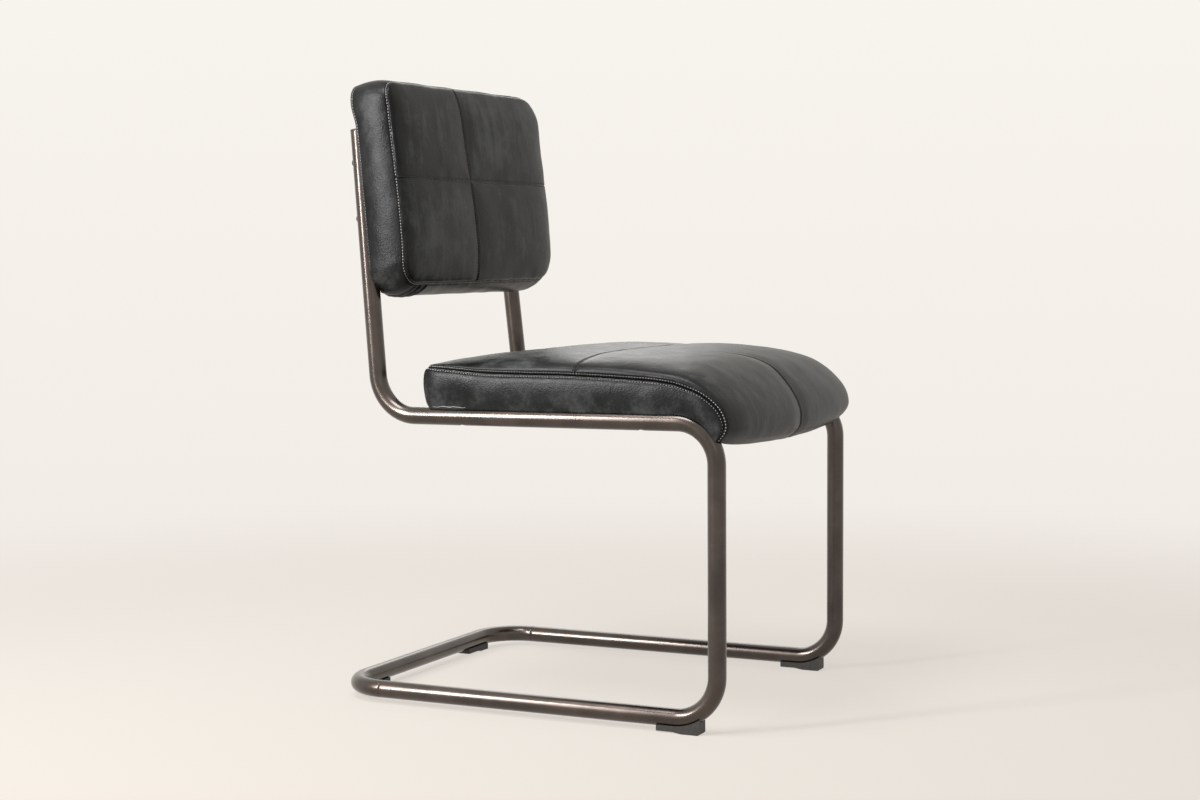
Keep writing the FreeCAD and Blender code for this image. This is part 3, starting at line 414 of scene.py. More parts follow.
def scaled_place(tree: bpy.types.NodeTree, stretch: Sequence[float]) -> bpy.types.NodeSocket:
    """Reads the place on the object in units of a pattern's size.

    Args:
        tree: the node tree.
        stretch: the pattern's size along x, y and z, in millimetres.
    Returns:
        Object coordinates divided by the stretch on each axis.
    """
    place = add_node(tree, "TexCoord").outputs["Object"]
    scale = tuple(1000.0 / part for part in stretch)
    return add_node(tree, "Mapping", Vector=place, Scale=scale).outputs["Vector"]


def finish_surface(
    tree: bpy.types.NodeTree,
    fac: bpy.types.NodeSocket,
    stops: Sequence[tuple[float, str]],
    height: bpy.types.NodeSocket,
    bump: tuple[float, float],
    shade: bpy.types.NodeSocket | float = 1.0,
    roughness: tuple[float, float, float, float] | None = None,
    **constants: float,
) -> None:
    """Ends a material in one shader whose colour and roughness follow the same pattern.

    Args:
        tree: the node tree.
        fac: the pattern.
        stops: the pattern's values with their colours.
        height: the relief's pattern.
        bump: the relief's strength, and its depth in millimetres.
        shade: what the colour is multiplied by.
        roughness: the pattern's span, and the roughness at its two ends.
        constants: the shader's other inputs, which are the same all over.
    """
    colour = add_node(tree, "ValToRGB", {"stops": stops}, Fac=fac).outputs["Color"]
    # Multiplies the colour by the painted shade where one is given.
    if shade != 1.0:
        scale = {"operation": "SCALE"}
        colour = add_node(tree, "VectorMath", scale, in_0=colour, Scale=shade).outputs[0]
    strength, depth = bump
    relief = add_node(tree, "Bump", Strength=strength, Distance=depth * MM, Height=height)
    shader = add_node(
        tree, "BsdfPrincipled", Base_Color=colour, Normal=relief.outputs["Normal"], **constants
    )
    if roughness:
        names = ("From_Min", "From_Max", "To_Min", "To_Max")
        rough = add_node(tree, "MapRange", Value=fac, **dict(zip(names, roughness)))
        tree.links.new(rough.outputs[0], shader.inputs["Roughness"])
    add_node(tree, "OutputMaterial", Surface=shader.outputs["BSDF"])


@dataclass(frozen=True)
class WaxedLeather:
    """Full-grain cowhide, drum dyed charcoal, waxed and hand rubbed.

    The wax lies darker beside the seams, and that darkening also paints in the shade there;
    each seam and its stitched row are painted as dark lines of shadow. The stretched crowns
    pull up paler, and the hide has a fine pebbled grain with soft creases. It gives a satin
    sheen with smoky mottling.

    Attributes:
        name: the material's name.
        stops: its darkest, middle and palest tones.
        clouds: the size of the mottling, of the drawn streaks and of the fine specks.
        weights: how much each of them, the seams' wax with its painted shade and the stretch count.
        grain: the size of the pebbles and of the creases, in millimetres.
        grain_depth: the depth of that relief, in millimetres.
        seam_shadow_tone: how dark the painted shadow along a seam and its stitched row is.
        roughness: the pattern's span, and the roughness at its two ends.
        ior: low, because dry wax mirrors the room less than a varnish does.
    """

    name: str = "waxed_charcoal_leather"
    stops: Stations = ((0.40, "#0c0c0d"), (0.54, "#1c1d1d"), (0.70, "#444545"))
    clouds: tuple[Point, ...] = ((34.0,) * 3, (16.0, 60.0, 90.0), (5.5,) * 3)
    weights: tuple[float, ...] = (0.42, 0.42, 0.16, -0.16, 0.12)
    grain: tuple[float, float] = (2.2, 7.0)
    grain_depth: float = 0.3
    seam_shadow_tone: float = 0.12
    roughness: tuple[float, float, float, float] = (0.3, 0.75, 0.27, 0.46)
    ior: float = 1.27

    def build(self) -> bpy.types.Material:
        """Makes the material.

        Returns:
            The material, with its own tree.
        """
        material, tree = new_material(self.name)
        add = partial(add_node, tree)
        cloud, drawn, speck = (scaled_place(tree, size) for size in self.clouds)
        parts = [
            add("TexNoise", Vector=cloud, Scale=1.0, Detail=5.0, Roughness=0.62),
            add("TexNoise", Vector=drawn, Scale=1.0, Detail=4.0, Roughness=0.6, Distortion=0.4),
            add("TexNoise", Vector=speck, Scale=1.0, Detail=3.0, Roughness=0.7),
            # The wax darkening beside the seams, which also paints in the shade there.
            add("Attribute", {"attribute_name": "seam_shade"}),
            add("Attribute", {"attribute_name": "pull_up"}),
        ]
        tone = 0.0
        for part, weight in zip(parts, self.weights):
            blend = {"operation": "MULTIPLY_ADD"}
            tone = add("Math", blend, in_0=part.outputs["Fac"], in_1=weight, in_2=tone).outputs[0]
        # A painted dark line of shadow along each seam and its stitched row multiplies the colour.
        crease = add("Attribute", {"attribute_name": "crease"}).outputs["Fac"]
        shade = add("MapRange", Value=crease, To_Min=1.0, To_Max=self.seam_shadow_tone).outputs[0]
        pebble, wrinkle = (scaled_place(tree, (size,) * 3) for size in self.grain)
        pebble = add(
            "TexVoronoi", {"feature": "SMOOTH_F1"}, Vector=pebble, Scale=1.0, Smoothness=0.6
        )
        wrinkle = add(
            "TexNoise", Vector=wrinkle, Scale=1.0, Detail=6.0, Roughness=0.65, Distortion=0.8
        )
        lines = add(
            "Math",
            {"operation": "MULTIPLY_ADD"},
            in_0=wrinkle.outputs["Fac"],
            in_1=1.4,
            in_2=pebble.outputs["Distance"],
        )
        finish_surface(
            tree,
            tone,
            self.stops,
            lines.outputs[0],
            (0.55, self.grain_depth),
            shade,
            self.roughness,
            IOR=self.ior,
        )
        return material


@dataclass(frozen=True)
class LacqueredSteel:
    """Welded steel tube, blackened and lacquered to a warm gunmetal.

    The clear lacquer lies over brushed, blackened steel, so the tube has a brown metallic
    body, a soft bright line along it and darker, slightly uneven flanks.

    Attributes:
        name: the material's name.
        stops: the steel's tones.
        blotch: the size of its uneven patches, in millimetres.
        brushing: the size of its fine relief, in millimetres.
        roughness: the pattern's span, and the roughness at its two ends.
    """

    name: str = "lacquered_gunmetal_steel"
    stops: Stations = ((0.4, "#3d3530"), (0.8, "#544a44"))
    blotch: float = 60.0
    brushing: float = 0.9
    roughness: tuple[float, float, float, float] = (0.4, 0.8, 0.27, 0.32)

    def build(self) -> bpy.types.Material:
        """Makes the material.

        Returns:
            The material, with its own tree.
        """
        material, tree = new_material(self.name)
        add = partial(add_node, tree)
        cloud, speck = (scaled_place(tree, (size,) * 3) for size in (self.blotch, self.brushing))
        cloud = add("TexNoise", Vector=cloud, Scale=1.0, Detail=5.0, Roughness=0.6).outputs["Fac"]
        speck = add("TexNoise", Vector=speck, Scale=1.0, Detail=2.0).outputs["Fac"]
        mixed = add("Math", {"operation": "MULTIPLY_ADD"}, in_0=speck, in_1=0.05, in_2=cloud)
        finish_surface(
            tree,
            mixed.outputs[0],
            self.stops,
            speck,
            (0.05, 0.01),
            roughness=self.roughness,
            Metallic=0.85,
            Coat_Weight=0.5,
            Coat_Roughness=0.16,
        )
        return material


@dataclass(frozen=True)
class PlainFinish:
    """A finish of one substance: two tones mottled at one grain, with a fine bump.

    Attributes:
        name: the material's name.
        dark: its darker tone.
        pale: its paler tone.
        grain: the pattern's size along x, y and z, in millimetres.
        metallic: how far it is a metal.
        roughness: its least and greatest roughness.
        relief: the depth of its bump, in millimetres.
    """

    name: str
    dark: str
    pale: str
    grain: tuple[float, float, float]
    metallic: float
    roughness: tuple[float, float]
    relief: float

    def build(self) -> bpy.types.Material:
        """Makes the material. The pattern's tones run from 0.3 to 0.7 of its values.

        Returns:
            The material, with its own tree.
        """
        material, tree = new_material(self.name)
        grain = scaled_place(tree, self.grain)
        fac = add_node(tree, "TexNoise", Vector=grain, Scale=1.0, Detail=4.0, Roughness=0.6)
        fac = fac.outputs["Fac"]
        stops = ((0.3, self.dark), (0.7, self.pale))
        span = (0.3, 0.7, *self.roughness)
        finish_surface(
            tree, fac, stops, fac, (0.4, self.relief), roughness=span, Metallic=self.metallic
        )
        return material


@dataclass(frozen=True)
class WovenLining:
    """Spun-bonded and woven black polyester cloth, as stapled under a seat.

    Two crossed sets of threads half a millimetre apart would be too fine to show, so they are
    drawn at 1.6 mm. It gives a dull black with a faint square weave.

    Attributes:
        name: the material's name.
        thread: the spacing of the threads as drawn.
        stops: the tones between the threads and on them.
    """

    name: str = "woven_black_lining"
    thread: float = 1.6
    stops: Stations = ((0.0, "#141414"), (1.0, "#2e2d2c"))

    def build(self) -> bpy.types.Material:
        """Makes the material.

        Returns:
            The material, with its own tree.
        """
        material, tree = new_material(self.name)
        place = scaled_place(tree, (self.thread * 2,) * 3)
        warp, weft = (
            add_node(
                tree,
                "TexWave",
                {"wave_type": "BANDS", "bands_direction": way},
                Vector=place,
                Scale=1.0,
                Distortion=0.3,
            ).outputs["Fac"]
            for way in "XY"
        )
        cross = add_node(tree, "Math", {"operation": "MULTIPLY"}, in_0=warp, in_1=weft).outputs[0]
        finish_surface(
            tree, cross, self.stops, cross, (0.5, 0.2), Roughness=0.9, Sheen_Weight=0.2
        )
        return material


class Finish(Enum):
    """The chair's finishes by name. Each is built once, when it is first asked for."""

    LEATHER = WaxedLeather()
    # The cut edge of the hide, undyed in its core: a paler, fibrous grey.
    LEATHER_EDGE = PlainFinish(
        "raw_leather_edge", "#6d6a67", "#a09d99", (2.0, 2.0, 2.0), 0.0, (0.8, 0.95), 0.1
    )
    TUBE = LacqueredSteel()
    # Waxed polyester thread, twisted, with a slight lustre: black across the panels, and grey along
    # the edges, where the grey also paints in the highlight that the thread catches.
    THREAD = PlainFinish(
        "waxed_grey_thread", "#8a8987", "#b9b7b4", (0.8, 0.8, 0.8), 0.0, (0.4, 0.55), 0.05
    )
    DARK_THREAD = PlainFinish(
        "waxed_black_thread", "#151516", "#2c2c2d", (0.8, 0.8, 0.8), 0.0, (0.35, 0.5), 0.05
    )
    # Injection-moulded nylon with a spark-eroded texture: matt black-brown.
    GLIDE = PlainFinish(
        "moulded_black_nylon", "#1d1b1a", "#3a3633", (1.6, 1.6, 5.0), 0.0, (0.45, 0.65), 0.25
    )
    # Black oxide on turned steel: near-black with a low metallic gleam.
    DARK_STEEL = PlainFinish(
        "black_oxide_steel", "#1f1d1c", "#35322f", (3.0, 3.0, 3.0), 0.9, (0.35, 0.5), 0.03
    )
    # Drawn and zinc-plated steel, bright and slightly grey.
    ZINC_STEEL = PlainFinish(
        "zinc_plated_steel", "#8d8f91", "#b7b9ba", (4.0, 4.0, 0.6), 1.0, (0.25, 0.4), 0.03
    )
    # Rotary-cut beech plywood: pale tan, its grain drawn out along the rails.
    PLYWOOD = PlainFinish(
        "beech_plywood", "#b48a5c", "#d8b88b", (5.0, 90.0, 1.6), 0.0, (0.55, 0.7), 0.15
    )
    LINING = WovenLining()

    def material(self) -> bpy.types.Material:
        """The built material of this finish."""
        return bpy.data.materials.get(self.value.name) or self.value.build()


# Frame


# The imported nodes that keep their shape, by finish.
KEPT_NODES = {
    Finish.TUBE: "joint_spigot_left joint_spigot_right",
    Finish.GLIDE: "upright_cap_left upright_cap_right front_glide_left front_glide_right "
    "rear_glide_left rear_glide_right",
    Finish.DARK_STEEL: "front_glide_screws rear_glide_screws seat_bolts back_bolts",
    Finish.ZINC_STEEL: "seat_tee_nuts back_tee_nuts",
    Finish.PLYWOOD: "back_board",
}


@dataclass
class TubePath:
    """The axis of a bent tube: straight runs with a tangent arc at each inner corner."""

    corners: list[Point]
    bends: Sequence[float]
    run_step: float = 6.0
    bend_step: float = 2.5

    def points(self) -> np.ndarray:
        """Walks the axis.

        At a corner with radius r and half angle h between its runs the arc starts r / tan h
        before it and turns about a centre r / sin h along the bisector.

        Returns:
            (n, 3) axis points in order.
        """
        corners = np.array(self.corners, float)
        pieces = []
        start = corners[0]
        for before, corner, after, radius in zip(corners, corners[1:], corners[2:], self.bends):
            back, onward = unit(before - corner), unit(after - corner)
            half = math.acos(float(np.clip(back @ onward, -1, 1))) / 2
            centre = corner + unit(back + onward) * radius / math.sin(half)
            first = corner + back * radius / math.tan(half)
            last = corner + onward * radius / math.tan(half)
            pieces.append(self.straight(start, first))
            swing = math.pi - 2 * half
            count = max(int(radius * swing / self.bend_step), 6)
            turn = np.linspace(0, swing, count, endpoint=False)[:, None]
            out = unit(first - centre)
            pieces.append(centre + radius * (np.cos(turn) * out - np.sin(turn) * back))
            start = last
        pieces.append(self.straight(start, corners[-1]))
        pieces.append(corners[-1:])
        return np.concatenate(pieces)

    def straight(self, start: np.ndarray, end: np.ndarray) -> np.ndarray:
        """Walks a straight run.

        Args:
            start: where it starts.
            end: where it ends, which isn't among the points.
        Returns:
            (n, 3) points about a run step apart.
        """
        count = max(int(np.linalg.norm(end - start) / self.run_step), 1)
        return start + (end - start) * np.linspace(0, 1, count, endpoint=False)[:, None]


def sweep(path: np.ndarray, radii: np.ndarray, sides: int) -> tuple[np.ndarray, np.ndarray]:
    """Carries a round profile along a path.

    The ring's frame is carried from point to point with the least turn: each cross direction
    is the last one with its part along the new tangent taken off. Each end is closed by a fan
    about its axis point.

    Args:
        path: (n, 3) axis points.
        radii: (n,) radius at each.
        sides: points round a ring.
    Returns:
        The points and the faces.
    """
    tangent = unit(np.gradient(path, axis=0))
    across = unit(np.cross(tangent[0], [0.3, 0.5, 0.8]))
    rows = []
    angle = np.linspace(0, 2 * np.pi, sides, endpoint=False)
    for place, along, radius in zip(path, tangent, radii):
        across = unit(across - along * (across @ along))
        aside = np.cross(along, across)
        ring = np.cos(angle)[:, None] * across + np.sin(angle)[:, None] * aside
        rows.append(place + radius * ring)
    points = np.concatenate([path[:1], *rows, path[-1:]])
    ring = np.arange(sides)
    onward = (ring + 1) % sides
    last = len(points) - 1
    first_fan = np.stack([0 * ring, 0 * ring, 1 + onward, 1 + ring], axis=1)
    last_fan = np.stack([0 * ring, 0 * ring, -sides + ring, -sides + onward], axis=1) + last
    return points, np.concatenate([grid_faces(len(path), sides, True, 1), first_fan, last_fan])


@dataclass
class TubeFrame:
    """The bent tube frame with its caps, glides and fasteners.

    Heights are those of the tubes' axes over the floor, and runs are measured back from the
    legs. The dents are the flattened seats behind the back's bolts, at heights along the
    uprights. The wells are the openings under the rails, which reach up to the well roof.
    """

    radius: float = 12.5
    leg_y: float = -284.29
    leg_half_span: float = 236.0
    rail_rear_half_span: float = 217.0
    top_half_span: float = 204.0
    floor_height: float = 19.5
    front_height: float = 418.0
    rear_height: float = 413.5
    top_height: float = 818.5
    rail_run: float = 527.0
    floor_run: float = 588.0
    lean_run: float = 37.5
    bends: tuple[float, float, float] = (60.0, 56.0, 63.0)
    corner_bend: float = 65.0
    joint_lead: float = 3.0
    edge_round: float = 0.5
    dent_heights: tuple[float, float] = (282.0, 362.0)
    dent_depth: float = 2.2
    dent_radius: float = 75.0
    dent_reach: float = 30.0
    well_runs: tuple[float, float] = (110.2, 390.2)
    well_radius: float = 6.25
    well_roof: float = 2.7
    sides: int = 56

    @property
    def lean(self) -> float:
        """How far the uprights lean back, in radians."""
        return math.atan2(self.lean_run, self.top_height - self.rear_height)

    def upright_axis(self, height: np.ndarray) -> np.ndarray:
        """Reads half the span between the uprights' axes.

        Args:
            height: how far up along them.
        Returns:
            The half span there.
        """
        length = math.hypot(self.top_height - self.rear_height, self.lean_run)
        share = np.clip(height / length, 0, 1)
        return self.rail_rear_half_span + share * (self.top_half_span - self.rail_rear_half_span)

    def rail_axis(self, run: np.ndarray) -> np.ndarray:
        """Half the span between the seat rails' axes at a run back from the legs."""
        share = np.clip(run / self.rail_run, 0, 1)
        return self.leg_half_span + share * (self.rail_rear_half_span - self.leg_half_span)

    def to_back(self, points: np.ndarray) -> np.ndarray:
        """Chair places as (across, behind the uprights' axes, up along them)."""
        turn, origin = self.back_frame()
        return (points - origin) @ turn

    def from_back(self, points: np.ndarray) -> np.ndarray:
        """Back-frame places as chair places."""
        turn, origin = self.back_frame()
        return points @ turn.T + origin

    def back_frame(self) -> tuple[np.ndarray, np.ndarray]:
        """The back frame, which stands on the rails' rear corner and leans back.

        Returns:
            Its axes as columns (across, back, up along the uprights) and its origin.
        """
        c, s = math.cos(self.lean), math.sin(self.lean)
        turn = np.array([[1, 0, 0], [0, c, s], [0, -s, c]])
        return turn, np.array([0, self.leg_y + self.rail_run, self.rear_height])

    def seat_frame(self) -> tuple[np.ndarray, np.ndarray]:
        """The seat frame, which lies on top of the rails.

        Returns:
            Its axes as columns (across, back along the rail, off the rail) and its origin over
            the leg.
        """
        slope = math.atan2(self.rear_height - self.front_height, self.rail_run)
        c, s = math.cos(slope), math.sin(slope)
        turn = np.array([[1, 0, 0], [0, c, -s], [0, s, c]])
        origin = [0, self.leg_y - self.radius * s, self.front_height + self.radius * c]
        return turn, np.array(origin)

    def press_seats(self, points: np.ndarray) -> np.ndarray:
        """Presses the shallow flattened seats behind the back's bolts.

        A point near a seat may not stand further back than a cylinder of the dent's radius
        whose axis lies across, behind the upright.

        Args:
            points: (n, 3) places on an upright.
        Returns:
            The pressed places.
        """
        local = self.to_back(points)
        for height in self.dent_heights:
            off = np.clip(np.abs(local[:, 2] - height), 0, self.dent_radius)
            limit = self.radius - self.dent_depth + self.dent_radius
            limit = limit - np.sqrt(self.dent_radius**2 - off**2)
            pressed = np.minimum(local[:, 1], limit)
            local[:, 1] = np.where(off < self.dent_reach, pressed, local[:, 1])
        return self.from_back(local)

    def tube(self, name: str, path: TubePath, node: str, dented: bool) -> None:
        """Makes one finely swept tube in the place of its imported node.

        Args:
            name: the piece's name.
            path: its axis.
            node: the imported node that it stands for.
            dented: whether it has the flattened seats.
        """
        axis = path.points()
        run = np.concatenate([[0], np.cumsum(np.linalg.norm(np.diff(axis, axis=0), axis=1))])
        e = self.edge_round
        inner = axis[np.minimum(run, run[-1] - run) > 2 * e]
        first, last = unit(axis[1] - axis[0]), unit(axis[-1] - axis[-2])
        lead = [axis[0] + first * step for step in (0, 0.3 * e, e)]
        tail = [axis[-1] - last * step for step in (e, 0.3 * e, 0)]
        line = np.concatenate([lead, inner, tail])
        radii = np.full(len(line), self.radius)
        radii[[0, -1]] -= e
        radii[[1, -2]] -= 0.3 * e
        points, faces = sweep(line, radii, self.sides)
        if dented:
            points = self.press_seats(points)
        piece = chair_piece(closed_mesh(name, points, faces), Finish.TUBE.material())
        if dented:
            self.cut_wells(piece)
        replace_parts(piece, node)

    def cut_wells(self, piece: bpy.types.Object) -> None:
        """Cuts the round openings under a rail, through which the seat's bolts go in.

        Args:
            piece: the side tube.
        """
        turn, origin = self.seat_frame()
        side = math.copysign(1.0, piece.data.vertices[0].co.x)
        for run in self.well_runs:
            x = side * float(self.rail_axis(run))
            path = np.array([(x, run, -2 * self.radius - 2), (x, run, -self.well_roof)])
            points, faces = sweep(path @ turn.T + origin, np.full(2, self.well_radius), 40)
            cutter = link_object("well", closed_mesh("well", points, faces))
            cut = piece.modifiers.new("well", "BOOLEAN")
            cut.operation, cut.solver, cut.object = "DIFFERENCE", "EXACT", cutter
            shown = piece.evaluated_get(bpy.context.evaluated_depsgraph_get())
            made = bpy.data.meshes.new_from_object(shown)
            piece.modifiers.clear()
            piece.data = made
            bpy.data.objects.remove(cutter)
        piece.data.name = piece.name
        piece.data.set_sharp_from_angle(angle=math.radians(50))

    def build(self) -> None:
        """Makes the tubes and dresses the rigid nodes that keep their shape."""
        joint_y = self.leg_y + self.floor_run - self.corner_bend - self.joint_lead
        rear_y = self.leg_y + self.rail_run
        for side, word in ((-1, "right"), (1, "left")):
            leg_x = side * self.leg_half_span
            corners = [
                (leg_x, joint_y, self.floor_height),
                (leg_x, self.leg_y, self.floor_height),
                (leg_x, self.leg_y, self.front_height),
                (side * self.rail_rear_half_span, rear_y, self.rear_height),
                (side * self.top_half_span, rear_y + self.lean_run, self.top_height),
            ]
            path = TubePath(corners, self.bends, run_step=3.0)
            self.tube(f"side_tube_{word}_lacquered", path, f"side_tube_{word}", True)
        bar_y, half = self.leg_y + self.floor_run, self.leg_half_span
        corners = [(-half, joint_y), (-half, bar_y), (half, bar_y), (half, joint_y)]
        path = TubePath([(x, y, self.floor_height) for x, y in corners], [self.corner_bend] * 2)
        self.tube("rear_floor_tube_lacquered", path, "rear_floor_tube", False)
        for finish, nodes in KEPT_NODES.items():
            for node in nodes.split():
                dress_node(node, finish)


def dress_node(node: str, finish: Finish) -> None:
    """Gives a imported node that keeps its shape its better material.

    Args:
        node: its name.
        finish: what it is made of.
    """
    data = frame["nodes"][node].data
    data.materials.clear()
    data.materials.append(finish.material())
    LOG.info("%s: %s", node, finish.value.name)


# Cushions


class Seam(Enum):
    """How a panel's border is sewn: not a seam, to the band, or flat to the next panel."""

    NONE = 0
    BOXING = 1
    CROSS = 2


# Grid lines beside a seam, in millimetres from it.
SEAM_LINES = (0.0, 0.6, 1.2, 1.8, 2.4, 3.0, 3.7, 4.4, 5.2, 6.4, 8.0, 10.0, 12.4, 15.2)
# The seam lines that stitches follow beside a cross seam, on a band and on a seat's top.
CROSS_ROW, BAND_ROW, TOP_ROW = 4, 3, 7
# Stout leather as cloth, held where it is sewn and swollen for some frames.
LEATHER_CLOTH = {
    "quality": 6,
    "mass": 0.3,
    "tension_stiffness": 20.0,
    "compression_stiffness": 20.0,
    "shear_stiffness": 8.0,
    "bending_stiffness": 5.0,
    "vertex_group_mass": "sewn",
    "use_pressure": True,
}
SWELLING_FRAMES = 20
# The spacing of stitches and of staples, and half the length, width and thickness of each.
STITCH_PITCH, STITCH = 4.2, (1.35, 0.7, 0.55)
STAPLE_PITCH, STAPLE = 34.0, (5.0, 0.6, 0.35)
# How far from a seam the wax with its painted shade and the stretch show, and the widths of the
# painted dark lines of shadow along the seam itself and along its stitches.
WAX_AND_SHADE_REACH, STRETCH_REACH, SEAM_SHADOW_WIDTH, STITCH_SHADOW_WIDTH = 9.0, 45.0, 0.9, 1.05
# How dark the painted shadow line of the stitches beside a cross seam is, beside the others.
CROSS_SHADOW_SHARE = 0.3


@dataclass
class Plan:
    """The fine grid lines across a panel in one direction.

    Attributes:
        cells: the coarse cells in that direction.
        length: about how long the panel is there, in millimetres.
        start: whether a seam runs along the first line.
        end: whether a seam runs along the last line.
        step: the widest spacing of the fine lines.
    """

    cells: int
    length: float
    start: bool
    end: bool
    step: float

    def lines(self) -> np.ndarray:
        """Spaces the lines, closely beside seams.

        Returns:
            Their distances from the first.
        """
        head = np.array(SEAM_LINES if self.start else (0.0,))
        tail = self.length - np.array(SEAM_LINES if self.end else (0.0,))[::-1]
        count = max(int(math.ceil((tail[0] - head[-1]) / self.step)), 1)
        middle = np.linspace(head[-1], tail[0], count + 1)[1:-1]
        return np.concatenate([head, middle, tail])

    def indices(self) -> np.ndarray:
        """The lines as fractional indices of the coarse grid."""
        return self.lines() / self.length * self.cells


@dataclass
class Panel:
    """One sewn panel of a cushion: a grid of places with what runs along its four borders.

    Attributes:
        grid: (rows, columns, 3) places in the cushion's own frame.
        rows: the plan of its fine rows.
        columns: the plan of its fine columns.
        borders: the seams at its first row, last row, first column and last column.
        held: whether it rests on a board or tube and doesn't swell.
        tone: how pale its hide is, from -1 to 1.
        row: which of the seam lines its stitches beside a boxing seam follow, or 0 for none.
        index: where its fine points are among the leather's, once that is made.
    """

    grid: np.ndarray
    rows: Plan
    columns: Plan
    borders: tuple[Seam, Seam, Seam, Seam]
    held: bool = False
    tone: float = 0.0
    row: int = 0
    index: np.ndarray | None = None

    def coarse_pins(self) -> np.ndarray:
        """Finds the coarse points that the sewing or the board holds.

        Returns:
            (rows, columns) of whether each is held.
        """
        pins = np.full(self.grid.shape[:2], self.held)
        if self.held:
            return pins
        for seam, edge in zip(self.borders, (pins[0], pins[-1], pins[:, 0], pins[:, -1])):
            if seam is not Seam.NONE:
                edge[:] = True
        return pins

    def stitched_line(self, seam: Seam) -> int:
        """Which of the seam lines carries the stitches beside a seam."""
        return CROSS_ROW if seam is Seam.CROSS else self.row

    def row_place(self, seam: Seam) -> float:
        """How far from a seam its stitches run, or 0 where it has none."""
        return SEAM_LINES[self.stitched_line(seam)]

    def stitch_rows(self, kind: Seam) -> list[np.ndarray]:
        """Finds the rows of stitches beside one kind of seam.

        Args:
            kind: the seam.
        Returns:
            The leather's points along each row.
        """
        line = self.stitched_line(kind)
        sides = zip(self.borders, (self.index, self.index[::-1], self.index.T, self.index.T[::-1]))
        return [rows[line] for seam, rows in sides if seam is kind and line and not self.held]

    def fine_grid(self) -> np.ndarray:
        """The places on the fine grid lines."""
        rows = read_rows(self.grid, self.rows.indices())
        return read_rows(rows.swapaxes(0, 1), self.columns.indices()).swapaxes(0, 1)

    def wear(self) -> np.ndarray:
        """Works out where the leather is darker and paler.

        The wax thins out from the nearest seam as exp(-d / reach), and its darkening also paints in
        the shade beside the seam; the stretch pulls the hide paler as 1 - exp(-d / reach). The seam
        and its stitched row are painted as dark lines of shadow.

        Returns:
            (n, 3) values, the fine points' wax with its painted shade, stretch and painted shadow
            lines.
        """
        shape = (len(self.rows.lines()), len(self.columns.lines()))
        nearest = np.full(shape, 200.0)
        dark = np.zeros(shape)
        for seam, away, _ in self.distances():
            nearest = np.minimum(nearest, away)
            # Each seam and its stitched row get a painted dark line of shadow.
            row = self.row_place(seam)
            share = (row > 0) * (CROSS_SHADOW_SHARE if seam is Seam.CROSS else 1.0)
            lines = np.maximum(bell(away, SEAM_SHADOW_WIDTH), share * bell(away - row, STITCH_SHADOW_WIDTH))
            dark = np.maximum(dark, lines)
        # The wax darkening from the nearest seam also paints in the shade beside it.
        wax = np.exp(-nearest / WAX_AND_SHADE_REACH)
        stretch = 1 - np.exp(-nearest / STRETCH_REACH) + self.tone
        return np.stack([wax, stretch, dark], axis=-1).reshape(-1, 3)

    def distances(self) -> list[tuple[Seam, np.ndarray, np.ndarray]]:
        """Measures from each seam along the border.

        Returns:
            For each seam its kind, every fine point's distance from it, and the seam's own
            point that each fine point lies across from.
        """
        fine = self.fine_grid()
        r, c = self.rows.lines()[:, None], self.columns.lines()[None, :]
        whole = np.ones(fine.shape[:2])
        ways = [
            (self.borders[0], r * whole, fine[:1]),
            (self.borders[1], (self.rows.length - r) * whole, fine[-1:]),
            (self.borders[2], c * whole, fine[:, :1]),
            (self.borders[3], (self.columns.length - c) * whole, fine[:, -1:]),
        ]
        return [
            (seam, away, np.broadcast_to(line, fine.shape))
            for seam, away, line in ways
            if seam is not Seam.NONE
        ]


@dataclass
class Sewing:
    """How the leather behaves beside its seams, in millimetres.

    Attributes:
        seed: picks the pattern of the gathers and waves.
        swell: how far the simulated swelling may move a point.
        depth: how deep the leather is pulled in at each kind of seam, in Seam's order.
        width: how far that reaches.
        pucker: the height of the small gathers that a seam draws across itself.
        gather: the spacing of those gathers.
        gather_reach: how far they run from the seam.
        fold_reach: the same for the wider folds between them, half as high.
        pressure: the filling's push on the leather.
        waves: the height of the slow unevenness of the stuffing.
        wave_grains: the sizes of that unevenness.
        bite: how deep the thread pulls its row in.
        bite_width: how far that reaches.
    """

    seed: int
    swell: float
    depth: tuple[float, float, float] = (0.0, 1.7, 1.0)
    width: tuple[float, float, float] = (1.0, 1.9, 0.8)
    pucker: tuple[float, float, float] = (0.0, 0.4, 0.1)
    gather: float = 9.0
    gather_reach: float = 7.0
    fold_reach: float = 16.0
    pressure: float = 4.0
    waves: float = 0.7
    wave_grains: tuple[float, float] = (48.0, 21.0)
    bite: float = 0.7
    bite_width: float = 0.9


